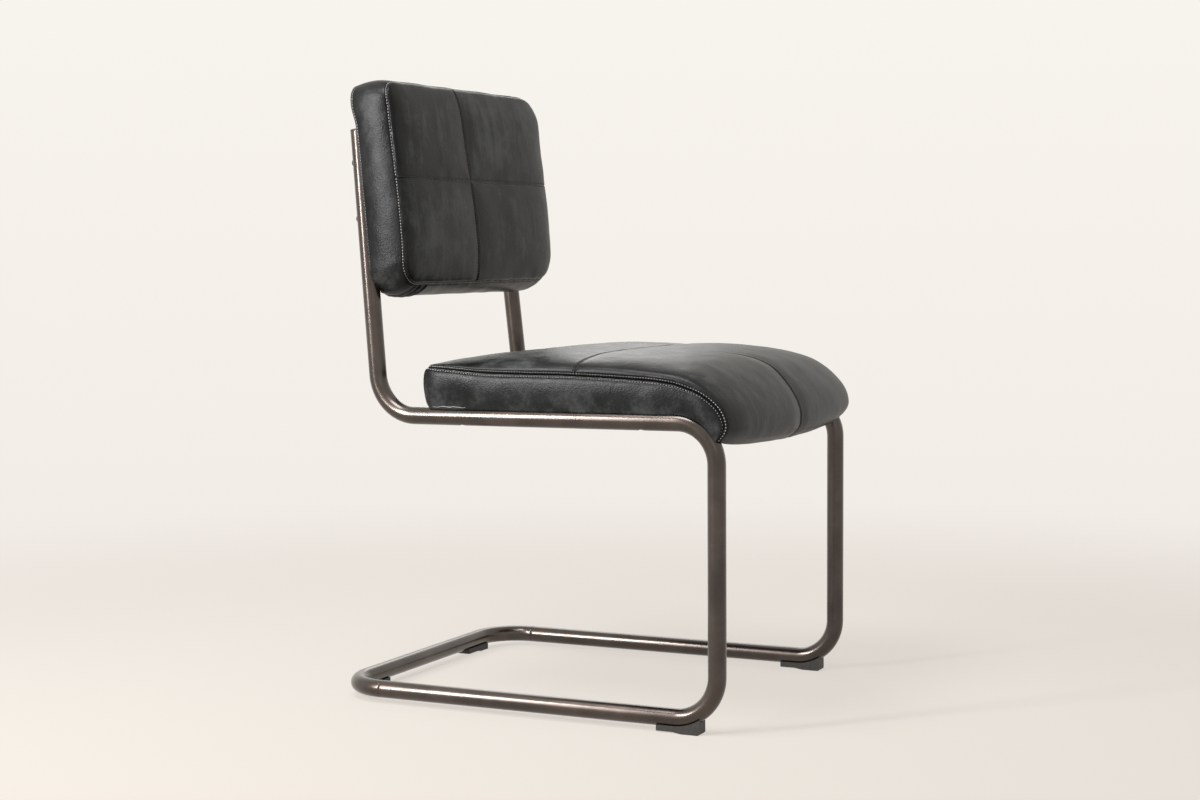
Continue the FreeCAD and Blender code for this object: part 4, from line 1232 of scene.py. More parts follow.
@dataclass
class Cushion:
    """A leather cushion sewn from panels, swollen by a cloth simulation and then stitched.

    Attributes:
        name: the leather piece's name.
        sewing: how it is sewn.
        turn: its own frame's axes as columns.
        origin: its own frame's origin.
        keep_clear: moves places out of what the cushion rests on.
        folds: how far places stand out in pleats.
        fill: how tightly it is filled; it is not used.
    """

    name: str
    sewing: Sewing
    turn: np.ndarray
    origin: np.ndarray
    keep_clear: Callable[[np.ndarray], np.ndarray]
    folds: Callable[[np.ndarray], np.ndarray] = lambda points: np.zeros(len(points))
    fill: float = 0.85

    def make(self, panels: list[Panel], node_names: Sequence[str]) -> None:
        """Swells the cushion and sews it.

        Args:
            panels: all the cushion's panels, which close up.
            node_names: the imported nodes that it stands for.
        """
        self.inflate(panels)
        self.sew(panels, node_names)

    def placed(self, local: np.ndarray) -> np.ndarray:
        """Places in the cushion's frame as places in the chair's frame."""
        return local @ self.turn.T + self.origin

    def local(self, places: np.ndarray) -> np.ndarray:
        """Places in the chair's frame as places in the cushion's frame."""
        return (places - self.origin) @ self.turn

    def inflate(self, panels: list[Panel]) -> None:
        """Swells the panels with Blender's cloth and writes the result into their grids.

        The welded coarse panels are a closed bag held at its seams and where it rests. Air
        pressure fills it for some frames without gravity, and no point may end up further
        than the sewing allows from where it began: a move m is cut to cap tanh(m / cap).

        Args:
            panels: all the cushion's panels, which close up.
        """
        points = np.concatenate([p.grid.reshape(-1, 3) for p in panels])
        pins = np.concatenate([p.coarse_pins().reshape(-1) for p in panels])
        first, faces, group = weld(points, all_faces([p.grid for p in panels]))
        held = np.zeros(len(first), bool)
        np.logical_or.at(held, group, pins)
        start = self.placed(points[first])
        bag = link_object("bag", closed_mesh("bag", start, faces))
        bag.vertex_groups.new(name="sewn").add(np.nonzero(held)[0].tolist(), 1.0, "REPLACE")
        cloth = bag.modifiers.new("cloth", "CLOTH")
        for key, value in LEATHER_CLOTH.items():
            setattr(cloth.settings, key, value)
        cloth.settings.uniform_pressure_force = self.sewing.pressure
        cloth.settings.effector_weights.gravity = 0.0
        cloth.collision_settings.use_collision = False
        scene = bpy.context.scene
        for step in range(1, SWELLING_FRAMES + 1):
            scene.frame_set(step)
        shown = bag.evaluated_get(bpy.context.evaluated_depsgraph_get())
        ended = np.empty(len(shown.data.vertices) * 3)
        shown.data.vertices.foreach_get("co", ended)
        scene.frame_set(1)
        move = ended.reshape(-1, 3) / MM - start
        far = np.linalg.norm(move, axis=1, keepdims=True)
        LOG.info("%s: swelled %.1f mm at most, %.1f on average", self.name, far.max(), far.mean())
        cap = self.sewing.swell
        move *= np.tanh(far / cap) * cap / np.maximum(far, 1e-6)
        bpy.data.objects.remove(bag)
        grids = [p.grid for p in panels]
        for panel, grid in zip(panels, split_up(self.local(start + move)[group], grids)):
            panel.grid = grid

    def relief(self, panel: Panel, fine: np.ndarray) -> np.ndarray:
        """Works out how far each fine point stands out from the swollen leather.

        A seam pulls in by depth times exp(-(t / width) ** 2) at a distance t, its stitched
        line presses in a little more, and gathers across it fade as exp(-t / reach). Slow
        waves of the filling cover the rest.

        Args:
            panel: the panel.
            fine: its fine places.
        Returns:
            One height for each fine point, in millimetres.
        """
        sewing = self.sewing
        sink = np.zeros(fine.shape[:2])
        lift = np.zeros(fine.shape[:2])
        for seam, away, line in panel.distances():
            kind, row = seam.value, panel.row_place(seam)
            valley = sewing.depth[kind] * bell(away, sewing.width[kind])
            if row > 0:
                valley += sewing.bite * bell(away - row, sewing.bite_width)
            sink = np.maximum(sink, valley)
            small = np.exp(-away / sewing.gather_reach) * smooth(away / 1.5 + 0.35)
            small = small * noise(line, sewing.gather, sewing.seed)
            wide = 0.5 * np.exp(-away / sewing.fold_reach)
            wide = wide * noise(line, sewing.gather * 2.6, sewing.seed + 1)
            lift += sewing.pucker[kind] * (small + wide)
        if panel.held:
            return lift - sink
        coarse, finer = sewing.wave_grains
        slow = noise(fine, coarse, sewing.seed + 2) + 0.5 * noise(fine, finer, sewing.seed + 3)
        return lift - sink + sewing.waves * slow * smooth(1 - sink / max(sewing.depth))

    def sew(self, panels: list[Panel], node_names: Sequence[str]) -> None:
        """Makes the cushion's one closed leather piece from its panels, and its stitches.

        Args:
            panels: the swollen panels.
            node_names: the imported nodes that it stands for.
        """
        grids = [p.fine_grid() for p in panels]
        heights = np.concatenate([self.relief(p, g).reshape(-1) for p, g in zip(panels, grids)])
        layers = np.concatenate([panel.wear() for panel in panels])
        points = np.concatenate([g.reshape(-1, 3) for g in grids])
        first, faces, group = weld(points, all_faces(grids))
        base = self.placed(points[first])
        data = closed_mesh(self.name, base, faces)
        high = heights[first] + self.folds(points[first])
        stood = self.local(base + point_normals(data) * high[:, None])
        world = self.placed(self.keep_clear(stood))
        data.vertices.foreach_set("co", (world * MM).reshape(-1))
        data.update()
        # Writes the wax with its painted shade, the stretch and the painted seam shadow onto the
        # leather.
        for key, values in zip(("seam_shade", "pull_up", "crease"), layers[first].T):
            layer = data.attributes.new(key, "FLOAT", "POINT")
            layer.data.foreach_set("value", values.astype(np.float32))
        for panel, index in zip(panels, split_up(group, grids)):
            panel.index = index
        piece = chair_piece(data, Finish.LEATHER.material())
        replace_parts(piece, *node_names)
        normals = point_normals(data)
        # The edge stitches' grey thread also paints in the highlight that they catch.
        for kind, word, finish in (
            (Seam.BOXING, "edge_stitches", Finish.THREAD),
            (Seam.CROSS, "cross_stitches", Finish.DARK_THREAD),
        ):
            rows = [row for panel in panels for row in panel.stitch_rows(kind)]
            rows = [row[np.append(True, np.diff(row) != 0)] for row in rows]
            lines = [(world[row], normals[row]) for row in rows]
            name = self.name.replace("leather", word)
            lay_along(name, lines, STITCH_PITCH, STITCH, finish)


def lay_along(
    name: str,
    lines: Sequence[tuple[np.ndarray, np.ndarray]],
    pitch: float,
    half_size: tuple[float, float, float],
    finish: Finish,
) -> None:
    """Lays a row of stitches or staples along each line.

    Each is a short six-sided thread with tapered ends that dip into what it holds. It is
    turned so that its length follows the line and its top follows the normal.

    Args:
        name: the piece's name.
        lines: the places along each line and the normals there, in millimetres.
        pitch: from one to the next.
        half_size: half its length, width and thickness.
        finish: what it is made of.
    """
    u = np.array([-1.0, -0.62, 0.0, 0.62, 1.0])
    girth = np.array([0.35, 0.9, 1.0, 0.9, 0.35])
    angle = np.linspace(0, 2 * np.pi, 6, endpoint=False)
    half, wide, thick = half_size
    shape = np.empty((5, 6, 3))
    shape[..., 0] = (u * half)[:, None]
    shape[..., 1] = girth[:, None] * np.cos(angle) * wide
    shape[..., 2] = thick * (girth[:, None] * np.sin(angle) - 0.9 * (u**2)[:, None] + 0.4)
    shape = shape.reshape(-1, 3)
    ends = np.array([[0, 1, 2, 3], [0, 3, 4, 5], [24, 25, 26, 27], [24, 27, 28, 29]])
    quads = np.concatenate([grid_faces(5, 6, ring=True), ends])
    places, frames = [], []
    for place, normal in lines:
        run = np.concatenate([[0], np.cumsum(np.linalg.norm(np.diff(place, axis=0), axis=1))])
        at = np.arange(pitch / 2, run[-1] - pitch / 3, pitch)
        spots = read_line(place, run, at)
        along = unit(read_line(place, run, at + 0.8) - read_line(place, run, at - 0.8))
        aside = unit(np.cross(read_line(normal, run, at), along))
        frames.append(np.stack([along, aside, np.cross(along, aside)], axis=1))
        places.append(spots)
    places, frames = np.concatenate(places), np.concatenate(frames)
    points = np.einsum("sk,nkj->nsj", shape, frames) + places[:, None]
    starts = (np.arange(len(places)) * len(shape))[:, None, None]
    data = closed_mesh(name, points.reshape(-1, 3), (quads[None] + starts).reshape(-1, 4))
    chair_piece(data, finish.material())


def read_line(values: np.ndarray, run: np.ndarray, at: np.ndarray) -> np.ndarray:
    """Reads the (n, 3) values of a line at given distances along it."""
    return np.stack([np.interp(at, run, values[:, k]) for k in range(3)], axis=1)


@dataclass
class SeatCushion:
    """The leather seat: a boxed cushion on the rails whose front rolls over their bend.

    Stations are given along t, which runs forward from the rear seam: over the flat rails it
    is the distance in millimetres, and over the bend it runs on to its end whatever the
    angle there.

    Attributes:
        frame: the frame that it lies on.
        rear_run: the rear seam's run back from the legs.
        seam_run: the cross seam's run back from the legs.
        overlap: how far it reaches beyond the rails' axes.
        bend_start: where the rails' bend starts.
        bend_radius: the radius of the top of that bend.
        roll_length: the length of t over the bend.
        side_end: where the front ends round the bend at its sides, in degrees.
        centre_end: the same in the middle.
        crest: the top's height along its middle.
        side: the height of the seam along its sides.
        rear_height: the height of the seam in the middle of the rear.
        tuck: how deep the cross seams are drawn in.
        side_bulge: how far the sides bow out.
        rear_bulge: how far the rear bows out.
        rear_lean: how far the top of the rear leans in.
        rear_reach: how far forward the drawn-in foot and the leaning top of the rear show.
        corner_round: the radius of the rear corners.
        raw_edges: where the hide's cut edge shows: from one run to another, at a height.
        fine: the widest spacing of the fine grid lines.
        cells: the coarse cells across, along the rear and front panels, and down the band.
    """

    frame: TubeFrame
    rear_run: float = 449.0
    seam_run: float = 205.0
    overlap: float = 9.0
    bend_start: float = 56.48
    bend_radius: float = 68.5
    roll_length: float = 150.0
    side_end: float = 61.6
    centre_end: float = 75.5
    crest: Stations = (
        (0, 74), (59, 75.5), (159, 79), (244, 78.5), (285, 78), (351, 73.3), (401.5, 66),
        (428, 61), (459.5, 50.5), (494, 41.5), (512, 35), (534, 19), (542.5, 1),
    )
    side: Stations = (
        (0, 57.5), (5, 56.7), (49, 52.8), (95, 49), (167, 47.8), (236, 47), (323, 43.4),
        (372, 40), (416.8, 33), (452, 30.4), (507, 22.8), (530, 13), (542.5, -3),
    )
    rear_height: float = 53.0
    tuck: float = 2.5
    side_bulge: float = 4.5
    rear_bulge: float = 6.0
    rear_lean: float = 4.5
    rear_reach: tuple[float, float] = (22.0, 18.0)
    corner_round: float = 13.0
    raw_edges: tuple[Point, ...] = ((434.0, 380.0, 1.4), (106.0, 98.0, 1.2))
    fine: float = 3.3
    cells: tuple[int, int, int, int] = (36, 36, 42, 8)

    @property
    def flat_length(self) -> float:
        """The length of the flat part."""
        return self.rear_run - self.bend_start

    @property
    def length(self) -> float:
        """Where t ends."""
        return self.flat_length + self.roll_length

    def half_width(self, t: np.ndarray) -> np.ndarray:
        """Half the cushion's width at a station."""
        axis = self.frame.rail_axis(np.maximum(self.rear_run - t, 0))
        return np.where(t < self.rear_run, axis, self.frame.leg_half_span) + self.overlap

    def end_angle(self, a: np.ndarray) -> np.ndarray:
        """Where the front's lower edge lies round the bend, from the side to the middle."""
        rise = np.sqrt(np.sin(np.pi / 2 * (1 - np.abs(a))))
        return np.radians(self.side_end + (self.centre_end - self.side_end) * rise)

    def place(
        self, a: np.ndarray, t: np.ndarray, out: np.ndarray | float, height: np.ndarray
    ) -> np.ndarray:
        """Finds a place in the seat's frame.

        Over the bend the height is measured along the bend's own radius. The rear leans in
        at its top, draws in at its foot, and has rounded corners.

        Args:
            a: the share of the half width, from -1 to 1.
            t: the station.
            out: how far beyond the half width.
            height: over the rail's top.
        Returns:
            (..., 3) places.
        """
        half = self.half_width(t)
        x = a * half + np.sign(a) * out
        theta = np.clip((t - self.flat_length) / self.roll_length, 0, 1) * self.end_angle(a)
        reach = self.bend_radius + height
        flat = t <= self.flat_length
        y = np.where(flat, self.rear_run - t, self.bend_start - reach * np.sin(theta))
        z = np.where(flat, height, reach * np.cos(theta) - self.bend_radius)
        r = self.corner_round
        low = np.clip(r - z, 0, r - 0.2)
        from_rear, (foot, top) = self.rear_run - y, self.rear_reach
        draw = (r - np.sqrt(r * r - low * low)) * np.exp(-from_rear / foot)
        lean = self.rear_lean * np.clip((z - 25) / 30, 0, 1) ** 1.5
        y = y - np.where(flat, draw + lean * np.exp(-from_rear / top), 0.0)
        edge_x = self.half_width(t) + 0 * x
        p = np.clip((np.abs(x) - (edge_x - r)) / r, 0, 1.3)
        q = np.clip((y - (self.rear_run - r)) / r, 0, 1.3)
        shrink_x = np.sqrt(np.maximum(1 - q**2 / 2, 0.1))
        shrink_y = np.sqrt(np.maximum(1 - p**2 / 2, 0.1))
        corner = (p > 0) & (q > 0)
        x = np.where(corner, np.sign(x) * (edge_x - r + r * p * shrink_x), x)
        y = np.where(corner, self.rear_run - r + r * q * shrink_y, y)
        return np.stack([x, y, z], axis=-1)

    def floor_height(self, a: np.ndarray, t: np.ndarray) -> np.ndarray:
        """Works out the height of the leather's underside.

        It is level with the rails' tops between them, and pressed down over each rail's outer
        shoulder.

        Args:
            a: the share of the half width.
            t: the station.
        Returns:
            The height over the rails' tops.
        """
        half = self.half_width(t)
        off = np.clip(np.abs(a) * half - (half - self.overlap), 0, 11.5)
        radius = self.frame.radius
        return np.sqrt(radius**2 - off**2) - radius + 0.5

    def seam_height(self, a: np.ndarray, t: np.ndarray) -> np.ndarray:
        """Works out the height of the boxing seam beside a point.

        Args:
            a: the share of the half width.
            t: the station.
        Returns:
            The height over the rails' tops.
        """
        side = curve_through(self.side, t)
        rear = self.rear_height + (self.side[0][1] - self.rear_height) * np.abs(a) ** 4
        return side + (rear - self.side[0][1]) * np.exp(-t / 60.0)

    def top_height(self, a: np.ndarray, t: np.ndarray) -> np.ndarray:
        """Works out the height of the top leather.

        It rises from the seam to the crest as a pillow does, and is tucked in along the cross
        seams.

        Args:
            a: the share of the half width.
            t: the station.
        Returns:
            The height over the rails' tops.
        """
        edge = self.seam_height(a, t)
        crest = curve_through(self.crest, t)
        half = self.half_width(t)
        full = pillow((1 - np.abs(a)) * half, 245.0, 0.277) * pillow(t, 245.0, 0.36)
        cross, middle = bell(t - (self.rear_run - self.seam_run), 20.0), bell(a * half, 20.0)
        height = edge + (crest - edge) * full - self.tuck * np.maximum(cross, middle) * full
        end = smooth((t - (self.length - 5)) / 5)
        return height + (self.floor_height(a, t) - height) * end

    def top_grid(self, hand: int, front: bool) -> np.ndarray:
        """Shapes one quarter of the top, evenly spaced.

        Args:
            hand: -1 for the left quarter and 1 for the right.
            front: whether it is a front quarter.
        Returns:
            (rows, columns, 5) places followed by a and t. Rows run forward and columns from
            the middle to the side.
        """
        seam_t = self.rear_run - self.seam_run
        v = np.linspace(0, 1, 220)
        t = seam_t * v**2.4 if not front else seam_t + (self.length - seam_t) * (1 - (1 - v) ** 1.7)
        a = 1 - np.linspace(1, 0, 220) ** 3.0
        t, a = np.meshgrid(t, a, indexing="ij")
        grid = np.concatenate([self.top_place(a, t), a[..., None], t[..., None]], axis=-1)
        across, rear, fore, _ = self.cells
        grid = even_rows(even_columns(grid, across + 1), (fore if front else rear) + 1)
        a, t = hand * grid[..., 3], grid[..., 4]
        return np.concatenate([self.top_place(a, t), a[..., None], t[..., None]], axis=-1)

    def top_place(self, a: np.ndarray, t: np.ndarray) -> np.ndarray:
        """Finds the top leather, which bulges a little over the boxing seam beside it.

        Args:
            a: the share of the half width.
            t: the station.
        Returns:
            (..., 3) places.
        """
        height = self.top_height(a, t)
        rise = height - self.seam_height(a, t)
        beside = (1 - np.abs(a)) * self.half_width(t)
        ending = 1 - smooth((t - self.length + 25.0) / 25.0)
        bow = np.sin(np.pi * np.clip(rise / 26.0, 0, 1)) * np.exp(-beside / 14.0)
        return self.place(a, t, self.side_bulge * bow * ending, height)

    def panels(self) -> list[Panel]:
        """Plans all the seat's panels.

        Returns:
            The panels, which close up underneath.
        """
        across, rear, fore, side = self.cells
        levels = Plan(side, 54.0, True, False, self.fine)
        made = []
        for front in (False, True):
            for hand in (-1, 1):
                top = self.top_grid(hand, front)
                a, t = top[..., 3], top[..., 4]
                cells, length = (fore, 300.0) if front else (rear, 262.0)
                rows = Plan(cells, length, True, not front, self.fine)
                columns = Plan(across, 262.0, True, True, self.fine)
                first = Seam.CROSS if front else Seam.BOXING
                last = Seam.NONE if front else Seam.CROSS
                tone = 0.35 * hand * (1 if front else -1)
                sewn = (first, last, Seam.CROSS, Seam.BOXING)
                made.append(Panel(top[..., :3], rows, columns, sewn, tone=tone, row=TOP_ROW))
                under = self.place(a, t, 0.0, self.floor_height(a, t))
                made.append(Panel(under, rows, columns, (Seam.NONE,) * 4, held=True))
                down = np.linspace(0, 1, side + 1)
                beside = self.band(a[:, -1:], t[:, -1:], down[None, :])
                sewn = (Seam.NONE, Seam.NONE, Seam.BOXING, Seam.NONE)
                made.append(Panel(beside, rows, levels, sewn, row=BAND_ROW))
                if not front:
                    behind = self.band(a[:1], t[:1], down[:, None])
                    sewn = (Seam.BOXING, Seam.NONE, Seam.NONE, Seam.NONE)
                    made.append(Panel(behind, levels, columns, sewn, row=BAND_ROW))
        return made

    def band(self, a: np.ndarray, t: np.ndarray, w: np.ndarray) -> np.ndarray:
        """Shapes the band, which bows out between the boxing seam and the rails.

        Args:
            a: the share of the half width.
            t: the station.
            w: the share of the way down from the seam to the rails.
        Returns:
            (rows, columns, 3) places.
        """
        a, t, w = np.broadcast_arrays(a, t, w)
        top, low = self.seam_height(a, t), self.floor_height(a, t)
        top = top + (low - top) * smooth((t - (self.length - 5)) / 5)
        height = top + (low - top) * w
        share = np.clip((top - low) / 45.0, 0, 1)
        bow = np.sin(np.pi * w**0.62) * share
        out = np.where(np.abs(a) > 0.999, self.side_bulge * bow * smooth(t / 25.0), 0.0)
        placed = self.place(a, t, out, height)
        placed[..., 1] += self.rear_bulge * bow * bell(t, 16.0)
        return placed

    def keep_clear(self, points: np.ndarray) -> np.ndarray:
        """Lifts points that have come nearer to a rail than the thickness of a hair.

        They are moved straight away from the rail's axis, and over its bend from the bend's
        own axis.

        Args:
            points: (n, 3) places on the leather.
        Returns:
            The places, clear of the rails.
        """
        points = points.copy()
        x, y, z = points.T
        limit = self.frame.radius + 0.35
        side = np.sign(x) * self.frame.rail_axis(np.maximum(y, 0))
        over = y > self.bend_start
        off_x, off_z = x - side, z + self.frame.radius
        near = np.hypot(off_x, off_z)
        push = np.where(over & (near < limit), limit / np.maximum(near, 1e-6), 1.0)
        points[:, 0] = side + off_x * push
        points[:, 2] = off_z * push - self.frame.radius
        axis_r = self.bend_radius - self.frame.radius
        dy, dz = self.bend_start - points[:, 1], points[:, 2] + self.bend_radius
        reach = np.hypot(dy, dz)
        leg = np.sign(x) * self.frame.leg_half_span
        off_x, off_r = points[:, 0] - leg, reach - axis_r
        near = np.hypot(off_x, off_r)
        push = np.where(~over & (near < limit), limit / np.maximum(near, 1e-6), 1.0)
        new_reach = axis_r + off_r * push
        points[:, 0] = np.where(over, points[:, 0], leg + off_x * push)
        points[:, 1] = np.where(over, points[:, 1], self.bend_start - dy * new_reach / reach)
        points[:, 2] = np.where(over, points[:, 2], dz * new_reach / reach - self.bend_radius)
        return points

    def build(self) -> None:
        """Makes the leather with its stitches."""
        turn, origin = self.frame.seat_frame()
        cushion = Cushion("seat_leather", Sewing(seed=11, swell=4.0), turn, origin, self.keep_clear)
        parts = ("cover_rear_left", "cover_rear_right", "cover_front_left", "cover_front_right")
        parts += ("band_left", "band_right", "band_rear", "foam")
        cushion.make(self.panels(), [f"seat_{part}" for part in parts])
        self.raw_edge(cushion)
        self.lining(cushion)
        self.board(cushion)

    def raw_edge(self, cushion: Cushion) -> None:
        """Shows the cut edge of the hide where it curls out over the near rail.

        Args:
            cushion: the seat's leather, for its frame.
        """
        for number, (rear, fore, lift) in enumerate(self.raw_edges):
            y = np.linspace(rear, fore, 48)
            wave = noise(np.stack([y, 0 * y, 0 * y], axis=1), 5.0, 31)
            x = -(self.half_width(self.rear_run - y) + 0.9 + 0.4 * wave)
            line = cushion.placed(np.stack([x, y, lift + 0.8 * wave], axis=1))
            taper = np.sqrt(np.sin(np.linspace(0.02, np.pi - 0.02, len(y))))
            points, faces = sweep(line, 0.1 + 0.55 * taper, 10)
            data = closed_mesh(f"seat_raw_edge_{number + 1}", points, faces)
            chair_piece(data, Finish.LEATHER_EDGE.material())

    def lining(self, cushion: Cushion) -> None:
        """Makes the woven cloth under the seat with its folded hem and its staples.

        It lies against the underside between the rails, follows the front's bend, and sags a
        little in the middle.

        Args:
            cushion: the seat's leather, for its frame.
        """
        rows, columns = 150, 110
        from_rear, over_bend, from_rail, hem_width = 14.0, 86.0, 6.0, 9.0
        run = np.linspace(0, 1, rows)[:, None]
        t = from_rear + run * (self.flat_length + over_bend)
        share = np.linspace(-1, 1, columns)[None, :]
        half = self.half_width(t)
        a = share * (half - self.overlap - self.frame.radius - from_rail) / half
        t = t + 0 * a
        edge = np.minimum((1 - np.abs(share)) * 205.0, np.minimum(run, 1 - run) * 470.0)
        hem = 0.5 * smooth((hem_width - edge) / 1.2) + 0.35 * bell(edge - hem_width, 1.5)
        waves = noise(np.stack([t, a * 220, 0 * t], axis=-1), 40.0, 5)
        sag = 1.6 * smooth(edge / 90.0) + 0.4 * waves
        low = -0.55 - hem - np.maximum(sag, 0)
        lower = self.place(a, t, 0.0, low)
        upper = self.place(a, t, 0.0, 0 * low + 0.3)
        ring = np.concatenate([lower, upper[:, ::-1]], axis=1)
        points = cushion.placed(ring.reshape(-1, 3))
        faces = grid_faces(rows, 2 * columns, ring=True)
        k = np.arange(columns - 1)
        cap = np.stack([k, k + 1, 2 * columns - 2 - k, 2 * columns - 1 - k], axis=1)
        faces = np.concatenate([faces, cap, cap + (rows - 1) * 2 * columns])
        data = closed_mesh("seat_underside_lining", points, faces)
        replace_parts(chair_piece(data, Finish.LINING.material()), "seat_lining")
        spots, down = cushion.placed(lower), -cushion.turn[:, 2]
        edges = (spots[3:-3, 2], spots[3:-3, -3], spots[2, 3:-3])
        lines = [(edge, np.broadcast_to(down, edge.shape)) for edge in edges]
        steel = Finish.ZINC_STEEL
        lay_along("lining_staples", lines, STAPLE_PITCH, STAPLE, steel)

    def board(self, cushion: Cushion) -> None:
        """Makes the seat's plywood, its rear edge set in so that the leather rounds over it.

        Args:
            cushion: the seat's leather, for its frame.
        """
        node = frame["nodes"]["seat_board"]
        data = node.data.copy()
        data.name = "seat_board_plywood"
        data.transform(node.matrix_world)
        points = np.empty(len(data.vertices) * 3)
        data.vertices.foreach_get("co", points)
        local = cushion.local(points.reshape(-1, 3) / MM)
        local[:, 1] = np.minimum(local[:, 1], self.rear_run - 12.0)
        data.vertices.foreach_set("co", (cushion.placed(local) * MM).reshape(-1))
        face_outwards(data, join=1e-5)
        data.set_sharp_from_angle(angle=math.radians(30.0))
        data.materials.clear()
        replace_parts(chair_piece(data, Finish.PLYWOOD.material()), "seat_board")


@dataclass
class BackCushion:
    """The leather back: a boxed cushion on the uprights, crowned in front.

    Its own frame has x across, y forward from the plane that touches the front of both
    uprights, and z up along them.

    Attributes:
        frame: the frame that it is bolted to.
        half_width: half its width.
        low: the height of its lower seam.
        high: the height of its upper seam.
        seam_height: the height of the level cross seam.
        seam_places: how far aside of the middle the upright seam runs, by height.
        seam_depths: how far forward the side seams stand, by height.
        crown: how far the front stands out beyond them.
        tuck: how deep the cross seams are drawn in.
        corners: the radius of each corner after the signs of its x and rise.
        swell: how far the band bows out underneath, on top and at the sides.
        pleats: where pleats cross the lower band, and their depths.
        rear_in: how much narrower the rear is on each side.
        rear_drop: how far below the front's lower seam the rear ends.
        rear_rise: how far above the front's upper seam the rear ends.
        tube_top: where the uprights' caps end.
        fine: the widest spacing of the fine grid lines.
        cells: the coarse cells across the left and right, up the lower and upper panels, and
            over the band.
    """

    frame: TubeFrame
    half_width: float = 227.0
    low: float = 181.5
    high: float = 470.0
    seam_height: float = 331.0
    seam_places: Stations = ((181.5, -22.0), (331.0, -30.0), (470.0, -38.0))
    seam_depths: Stations = (
        (181.5, 52.7),
        (240.0, 56.4),
        (325.0, 56.5),
        (390.0, 54.0),
        (440.0, 53.2),
        (470.0, 50.4),
    )
    crown: float = 11.0
    tuck: float = 1.6
    corners: tuple[Point, ...] = ((-1, -1, 34.0), (-1, 1, 26.0), (1, -1, 44.0), (1, 1, 46.0))
    swell: tuple[float, float, float] = (9.0, 4.0, 4.5)
    pleats: Stations = ((-198.0, 1.6), (-184.0, 2.2), (-168.0, 1.8), (196.0, 1.2))
    rear_in: float = 3.0
    rear_drop: float = 10.0
    rear_rise: float = 2.0
    tube_top: float = 409.0
    fine: float = 2.9
    cells: tuple[int, int, int, int, int] = (30, 36, 24, 22, 9)

    def rounded(self, x: np.ndarray, z: np.ndarray) -> tuple[np.ndarray, np.ndarray]:
        """Rounds the corners of the rectangle.

        In each corner square of side r the place (p, q) goes to (p sqrt(1 - q^2 / 2),
        q sqrt(1 - p^2 / 2)), which carries the square's outer edges to a quarter circle.

        Args:
            x: places across the rectangle.
            z: places up it.
        Returns:
            Both, rounded.
        """
        middle = (self.low + self.high) / 2
        new_x, new_z = x.copy(), z.copy()
        for hand, rise, r in self.corners:
            edge_z = self.high if rise > 0 else self.low
            p = np.clip((hand * x - (self.half_width - r)) / r, 0, 1)
            q = np.clip((rise * (z - edge_z) + r) / r, 0, 1)
            inside = (p > 0) & (q > 0) & (rise * (z - middle) > 0)
            corner_x = hand * (self.half_width - r + r * p * np.sqrt(1 - q**2 / 2))
            corner_z = edge_z + rise * (r * q * np.sqrt(1 - p**2 / 2) - r)
            new_x = np.where(inside, corner_x, new_x)
            new_z = np.where(inside, corner_z, new_z)
        return new_x, new_z

    def front_grid(self, right: bool, upper: bool) -> np.ndarray:
        """Shapes one quarter of the front, evenly spaced, from its outer corner inwards.

        It stands out by the crown where it is far from every border, and is tucked in beside
        the two cross seams.

        Args:
            right: whether it is the right-hand quarter.
            upper: whether it is an upper quarter.
        Returns:
            (rows, columns, 3) places. Rows run from the lower or upper seam to the cross seam,
            and columns from the side seam to the upright seam.
        """
        v = np.linspace(0, 1, 200) ** 2.0
        z_edge = self.high if upper else self.low
        z = z_edge + (self.seam_height - z_edge) * v[:, None]
        seam_x = curve_through(self.seam_places, z)
        x_edge = self.half_width if right else -self.half_width
        x = x_edge + (seam_x - x_edge) * v[None, :]
        z = z + 0 * x
        from_side = np.abs(x - x_edge)
        from_end = np.abs(z - z_edge)
        full = pillow(from_side, 80.0, 0.5) * pillow(from_end, 80.0, 0.5)
        beside, across = bell(x - seam_x, 16.0), bell(z - self.seam_height, 16.0)
        depth = curve_through(self.seam_depths, z) + self.crown * full
        depth -= self.tuck * np.maximum(beside, across) * full
        x, z = self.rounded(x, z)
        grid = np.stack([x, depth, z], axis=-1)
        columns = self.cells[1] if right else self.cells[0]
        rows = self.cells[3] if upper else self.cells[2]
        return even_rows(even_columns(grid, columns + 1), rows + 1)

    def rear_depth(self, x: np.ndarray, z: np.ndarray) -> np.ndarray:
        """Works out how far forward the rear leather lies.

        It is pressed against the uprights where they pass, lies a little behind their fronts
        elsewhere, and further over their tops.

        Args:
            x: places across.
            z: places up.
        Returns:
            The depth of each.
        """
        edge = smooth((np.abs(x) - 196.0) / 20.0)
        over = smooth((z - self.tube_top) / 34.0)
        free = -1.5 - 3.5 * edge - 5.0 * over * (0.4 + 0.6 * edge)
        off = np.minimum(np.abs(np.abs(x) - self.frame.upright_axis(z)), self.frame.radius)
        tube = np.sqrt(self.frame.radius**2 - off**2) - self.frame.radius + 0.5
        pressed = np.maximum(free, tube) - free
        return free + pressed * (1 - smooth((z - self.tube_top - 3) / 8.0))

    def rear_place(self, x: np.ndarray, z: np.ndarray) -> np.ndarray:
        """Finds the rear leather's point behind a front point.

        Args:
            x: places across.
            z: places up.
        Returns:
            The (…, 3) places behind them.
        """
        share = (z - self.low) / (self.high - self.low)
        rear_x = x * (1 - self.rear_in / self.half_width)
        rear_z = z - self.rear_drop * (1 - share) + self.rear_rise * share
        return np.stack([rear_x, self.rear_depth(rear_x, rear_z), rear_z], axis=-1)

